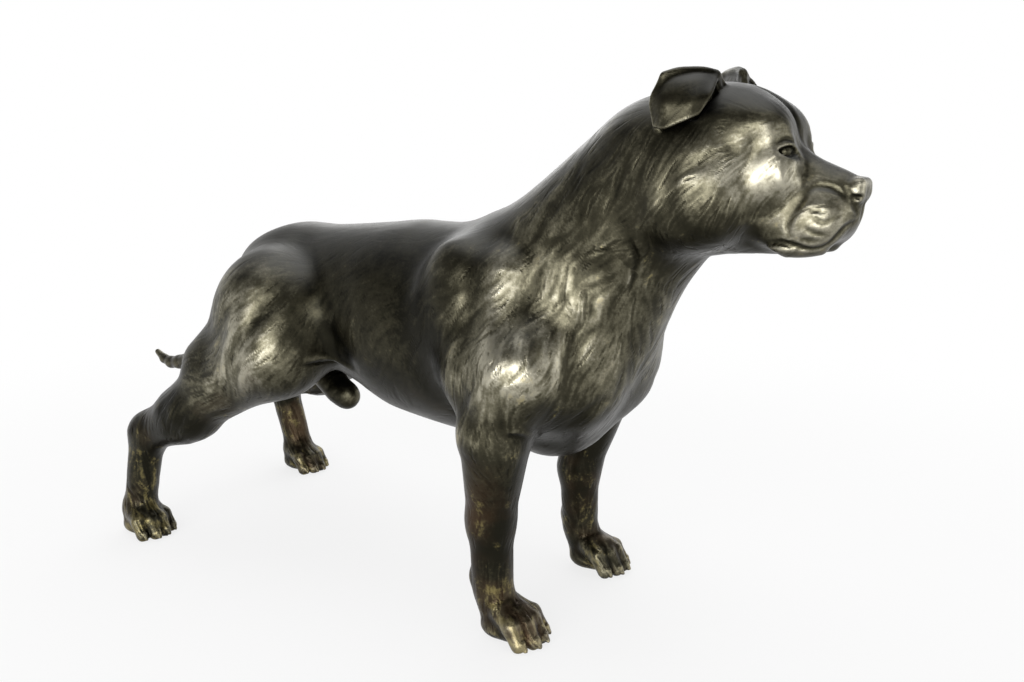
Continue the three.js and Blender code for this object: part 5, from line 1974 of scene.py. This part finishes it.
@dataclass
class Chaser:
    """Works the coat into a shell, measures where it stands proud, and makes the finished piece."""

    coat: Coat
    finish: bpy.types.Material
    shift: float
    fine_depth: float = 0.08
    broad_depth: float = 0.34
    cut_depth: float = 0.42
    cut_range: tuple[float, float] = (0.25, 0.95)
    # Heights in millimetres over which the painted grey sheen on upward faces fades in.
    sheen_height: tuple[float, float] = (150, 260)

    NEAR_ROUNDS = 4
    FAR_ROUNDS = 40

    def normals(self, shell: Shell) -> np.ndarray:
        """The normals of a shell.

        Args:
            shell: The shell.

        Returns:
            Its normals, one for each of its points.
        """
        normals = np.zeros((len(shell.points), 3))
        corners = shell.points[shell.quads]
        cross = np.cross(corners[:, 2] - corners[:, 0], corners[:, 3] - corners[:, 1])
        for i in range(4):
            for axis in range(3):
                normals[:, axis] += np.bincount(shell.quads[:, i], cross[:, axis], len(normals))
        for face in shell.others:
            a, b, c = shell.points[face[0]], shell.points[face[1]], shell.points[face[2]]
            normals[face] += np.cross(b - a, c - a)
        return (normals / np.maximum(np.linalg.norm(normals, axis=1), 1e-9)[:, None]).astype(np.float32)

    def proud(self, shell: Shell, normals: np.ndarray, rounds: int) -> np.ndarray:
        """How far the points of a shell stand proud of the skin around them.

        Args:
            shell: The shell.
            normals: Its normals.
            rounds: How often the skin is smoothed, and so how far around a point it is looked at.

        Returns:
            The heights, in millimetres.
        """
        edges = np.vstack([shell.quads[:, [i, (i + 1) % 4]] for i in range(4)])
        edges = np.vstack([edges, edges[:, ::-1]])
        count = len(shell.points)
        degree = np.maximum(np.bincount(edges[:, 0], minlength=count), 1)
        smooth = shell.points.astype(float)
        for _ in range(rounds):
            smooth = np.stack([np.bincount(edges[:, 0], smooth[edges[:, 1], axis], count)
                               for axis in range(3)], 1) / degree[:, None]
        alone = np.bincount(edges[:, 0], minlength=count) == 0
        smooth[alone] = shell.points[alone]
        return dots(shell.points - smooth, normals)

    def comb(self, shell: Shell) -> dict[str, np.ndarray]:
        """Works the coat into a shell.

        Args:
            shell: The shell, whose points are moved.

        Returns:
            The values that the finish reads at each point, by their names.
        """
        normals = self.normals(shell)
        fine, broad, strength, wear_and_painted_light = self.coat.combed(shell.points, normals)
        cuts = smooth_step(*self.cut_range, fine)
        coat = fine * self.fine_depth + broad * self.broad_depth - cuts * self.cut_depth
        depth = strength * coat * shell.skin_points()
        on_floor = shell.points[:, 2] < 0.01
        shell.points = shell.points + normals * np.where(on_floor, 0, depth)[:, None]
        small, large = (self.proud(shell, normals, rounds) for rounds in (self.NEAR_ROUNDS, self.FAR_ROUNDS))
        shown = np.minimum(strength, 1)
        return {"streak": (fine - cuts * 1.5) * shown,
                "sweep": broad * shown,
                "proud": np.clip(small * 2.0 + large * 0.5, -1.5, 1.5),
                # Rubbing from the coat's locks, with painted highlights and painted shade in it.
                "wear_and_painted_light": wear_and_painted_light,
                # Painted shade: faces turned down get a darker patina colour, and no coat.
                "facing_down_shade": smooth_step(-0.1, 0.8, -normals[:, 2]),
                # Painted sheen: faces turned up, high on the statue, get a pale grey colour and a rougher
                # finish.
                "facing_up_sheen": (smooth_step(0.45, 0.95, normals[:, 2])
                          * smooth_step(*self.sheen_height, shell.points[:, 2]))}

    def piece(self, name: str, shell: Shell) -> bpy.types.Object:
        """The finished piece, in metres.

        Args:
            name: The piece's name.
            shell: Its shell, in millimetres.

        Returns:
            The piece's object.
        """
        values = self.comb(shell)
        faces = [*shell.quads.tolist(), *shell.others, *shell.rim]
        mesh = bpy.data.meshes.new(name)
        placed = (shell.points + (self.shift, 0, 0)) * MILLIMETRE
        mesh.from_pydata(placed.tolist(), [], faces)
        for key, column in values.items():
            layer = mesh.attributes.new(key, "FLOAT", "POINT")
            layer.data.foreach_set("value", np.ascontiguousarray(column, np.float32))
        flat = np.zeros(len(faces), bool)
        flat[len(shell.quads) + len(shell.others):] = True
        mesh.attributes.new("sharp_face", "BOOLEAN", "FACE").data.foreach_set("value", flat)
        mesh.materials.append(self.finish)
        mesh.update()
        return in_scene(name, mesh)


@dataclass(frozen=True)
class Lamp:
    """A soft rectangular lamp: where it stands and what it shines on, in metres, its size and its watts."""

    name: str
    at: Point
    towards: Point
    size: tuple[float, float]
    watts: float

    def build(self) -> None:
        """Hangs the lamp."""
        light = bpy.data.lights.new(self.name, "AREA")
        light.shape = "RECTANGLE"
        light.size, light.size_y = self.size
        light.energy = self.watts
        lamp = in_scene(self.name, light)
        lamp.visible_camera = False
        lamp.location = self.at
        lamp.rotation_euler = (Vector(self.towards) - Vector(self.at)).to_track_quat("-Z", "Y").to_euler()


@dataclass
class Studio:
    """A plain white studio: floor, surroundings, soft lamps and the camera."""

    image_width: int = 1024
    focal_pixels: float = 950
    sensor: float = 36.0
    camera_at: Point = (685.0, -799.0, 481.0)
    camera_yaw: float = 34.7
    camera_pitch: float = 12.0
    floor_size: float = 30.0
    lamps: tuple[Lamp, ...] = (
        Lamp("key", (0.80, -2.5, 0.72), (0.05, 0, 0.28), (2.6, 2.0), 63),
        Lamp("overhead", (0.0, 0.3, 2.6), (0, 0, 0.3), (2.8, 2.2), 22),
        Lamp("front", (2.6, 0.5, 0.7), (0.1, 0, 0.3), (0.9, 0.9), 3),
        Lamp("far", (-1.0, 2.1, 1.5), (0, 0, 0.3), (2.6, 1.6), 24),
    )
    fill: float = 0.5
    ceiling: float = 0.12
    dark_side: float = 0.4

    def build(self) -> None:
        """Builds the studio."""
        self.floor()
        self.surroundings()
        for lamp in self.lamps:
            lamp.build()
        self.camera()

    def floor(self) -> None:
        """A pale floor that runs past the picture and takes a soft shadow."""
        half = self.floor_size / 2
        mesh = bpy.data.meshes.new("floor")
        mesh.from_pydata([(-half, -half, 0), (half, -half, 0), (half, half, 0), (-half, half, 0)], [],
                         [(0, 1, 2, 3)])
        floor = in_scene("floor", mesh)
        mesh.materials.append(PalePaper().material())

    def surroundings(self) -> None:
        """White surroundings down by the floor, with a darker ceiling that only the metal shows."""
        world = bpy.data.worlds.new("studio")
        bpy.context.scene.world = world
        world.use_nodes = True
        nodes = Nodes(world.node_tree)
        way = nodes.add("ShaderNodeTexCoord", output="Generated")
        up, across = nodes.part(way, "Z"), nodes.part(way, "Y")
        wall = (1 - up.step(0.2, 0.75)) * (self.dark_side + across.step(-0.7, 0.3) * (1 - self.dark_side))
        camera = nodes.ray("Is Camera Ray")
        level = self.fill * (1 - nodes.seen()) + nodes.seen() * (self.ceiling + wall * (1 - self.ceiling))
        strength = nodes.add("ShaderNodeMath", {"operation": "MAXIMUM"}, {0: camera, 1: level})
        background = nodes.add("ShaderNodeBackground", None, {"Color": (1, 1, 1, 1), "Strength": strength})
        nodes.add("ShaderNodeOutputWorld", None, {"Surface": background})

    def camera(self) -> None:
        """The camera, where the photographer stood."""
        data = bpy.data.cameras.new("camera")
        data.sensor_width = self.sensor
        data.lens = self.focal_pixels / self.image_width * self.sensor
        data.clip_start = 0.01
        camera = in_scene("camera", data)
        camera.location = [c * MILLIMETRE for c in self.camera_at]
        camera.rotation_euler = (math.radians(90 - self.camera_pitch), 0, math.radians(self.camera_yaw))
        bpy.context.scene.camera = camera
        bpy.context.scene.view_settings.view_transform = "Standard"


def write_size() -> None:
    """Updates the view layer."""
    bpy.context.view_layer.update()


def split_ears(shell: Shell, ears: Ears, skin: Skin) -> dict[str, Shell]:
    """Parts the ears from the head that they are modelled with.

    Args:
        shell: The head with both ears.
        ears: The ears.
        skin: The skin of the head alone.

    Returns:
        The three shells by the names of their nodes.
    """
    centres = shell.points[shell.quads].mean(1)
    outward = Skin(ears.forms()).distance(centres) < skin.distance(centres)
    shells = {}
    for name, kept in (("head_casting", ~outward), ("ear_right", outward & (centres[:, 1] < 0)),
                       ("ear_left", outward & (centres[:, 1] > 0))):
        part = Shell(shell.points, shell.quads[kept])
        if name == "head_casting":
            part.others, part.rim = shell.others, shell.rim
        part.compact()
        part.keep_largest()
        shells[name] = part
    return shells


def main() -> None:
    """Builds the statue piece by piece."""
    logging.basicConfig(level=logging.INFO, format="%(message)s")
    bones = Skeleton()
    foundry = Foundry(bones, fine=1.0)
    sleeve_low, sleeve_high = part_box("barrel_sleeve")
    shift = (sleeve_low.x + sleeve_high.x) / 2 / MILLIMETRE - foundry.barrel_seam_x
    dog, ears = Dog(bones), Ears(bones)
    bare_skin = Skin(dog.forms(), dog.strokes())
    eared_skin = Skin([*dog.forms(), *ears.forms()])
    eared_skin.strokes = bare_skin.strokes
    chaser = Chaser(Coat(bones), BronzePatina().material(), shift)
    for casting in foundry.castings():
        if casting.name == "head_casting":
            shells = split_ears(casting.shell(eared_skin), ears, bare_skin)
        else:
            shells = {casting.name: casting.shell(bare_skin)}
        for node, shell in shells.items():
            piece = chaser.piece(f"{node}_skin", shell)
            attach(piece, "root")
            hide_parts(node)
            log.info("%s: %d points", piece.name, len(shell.points))
    bare = BareBronze().material()
    for name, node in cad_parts.items():
        if "sleeve" in name or "dowel" in name:
            node.data.materials.clear()
            node.data.materials.append(bare)
            log.info("%s: shown as packed", name)
    Studio().build()
    write_size()


if __name__ == "__main__":
    main()
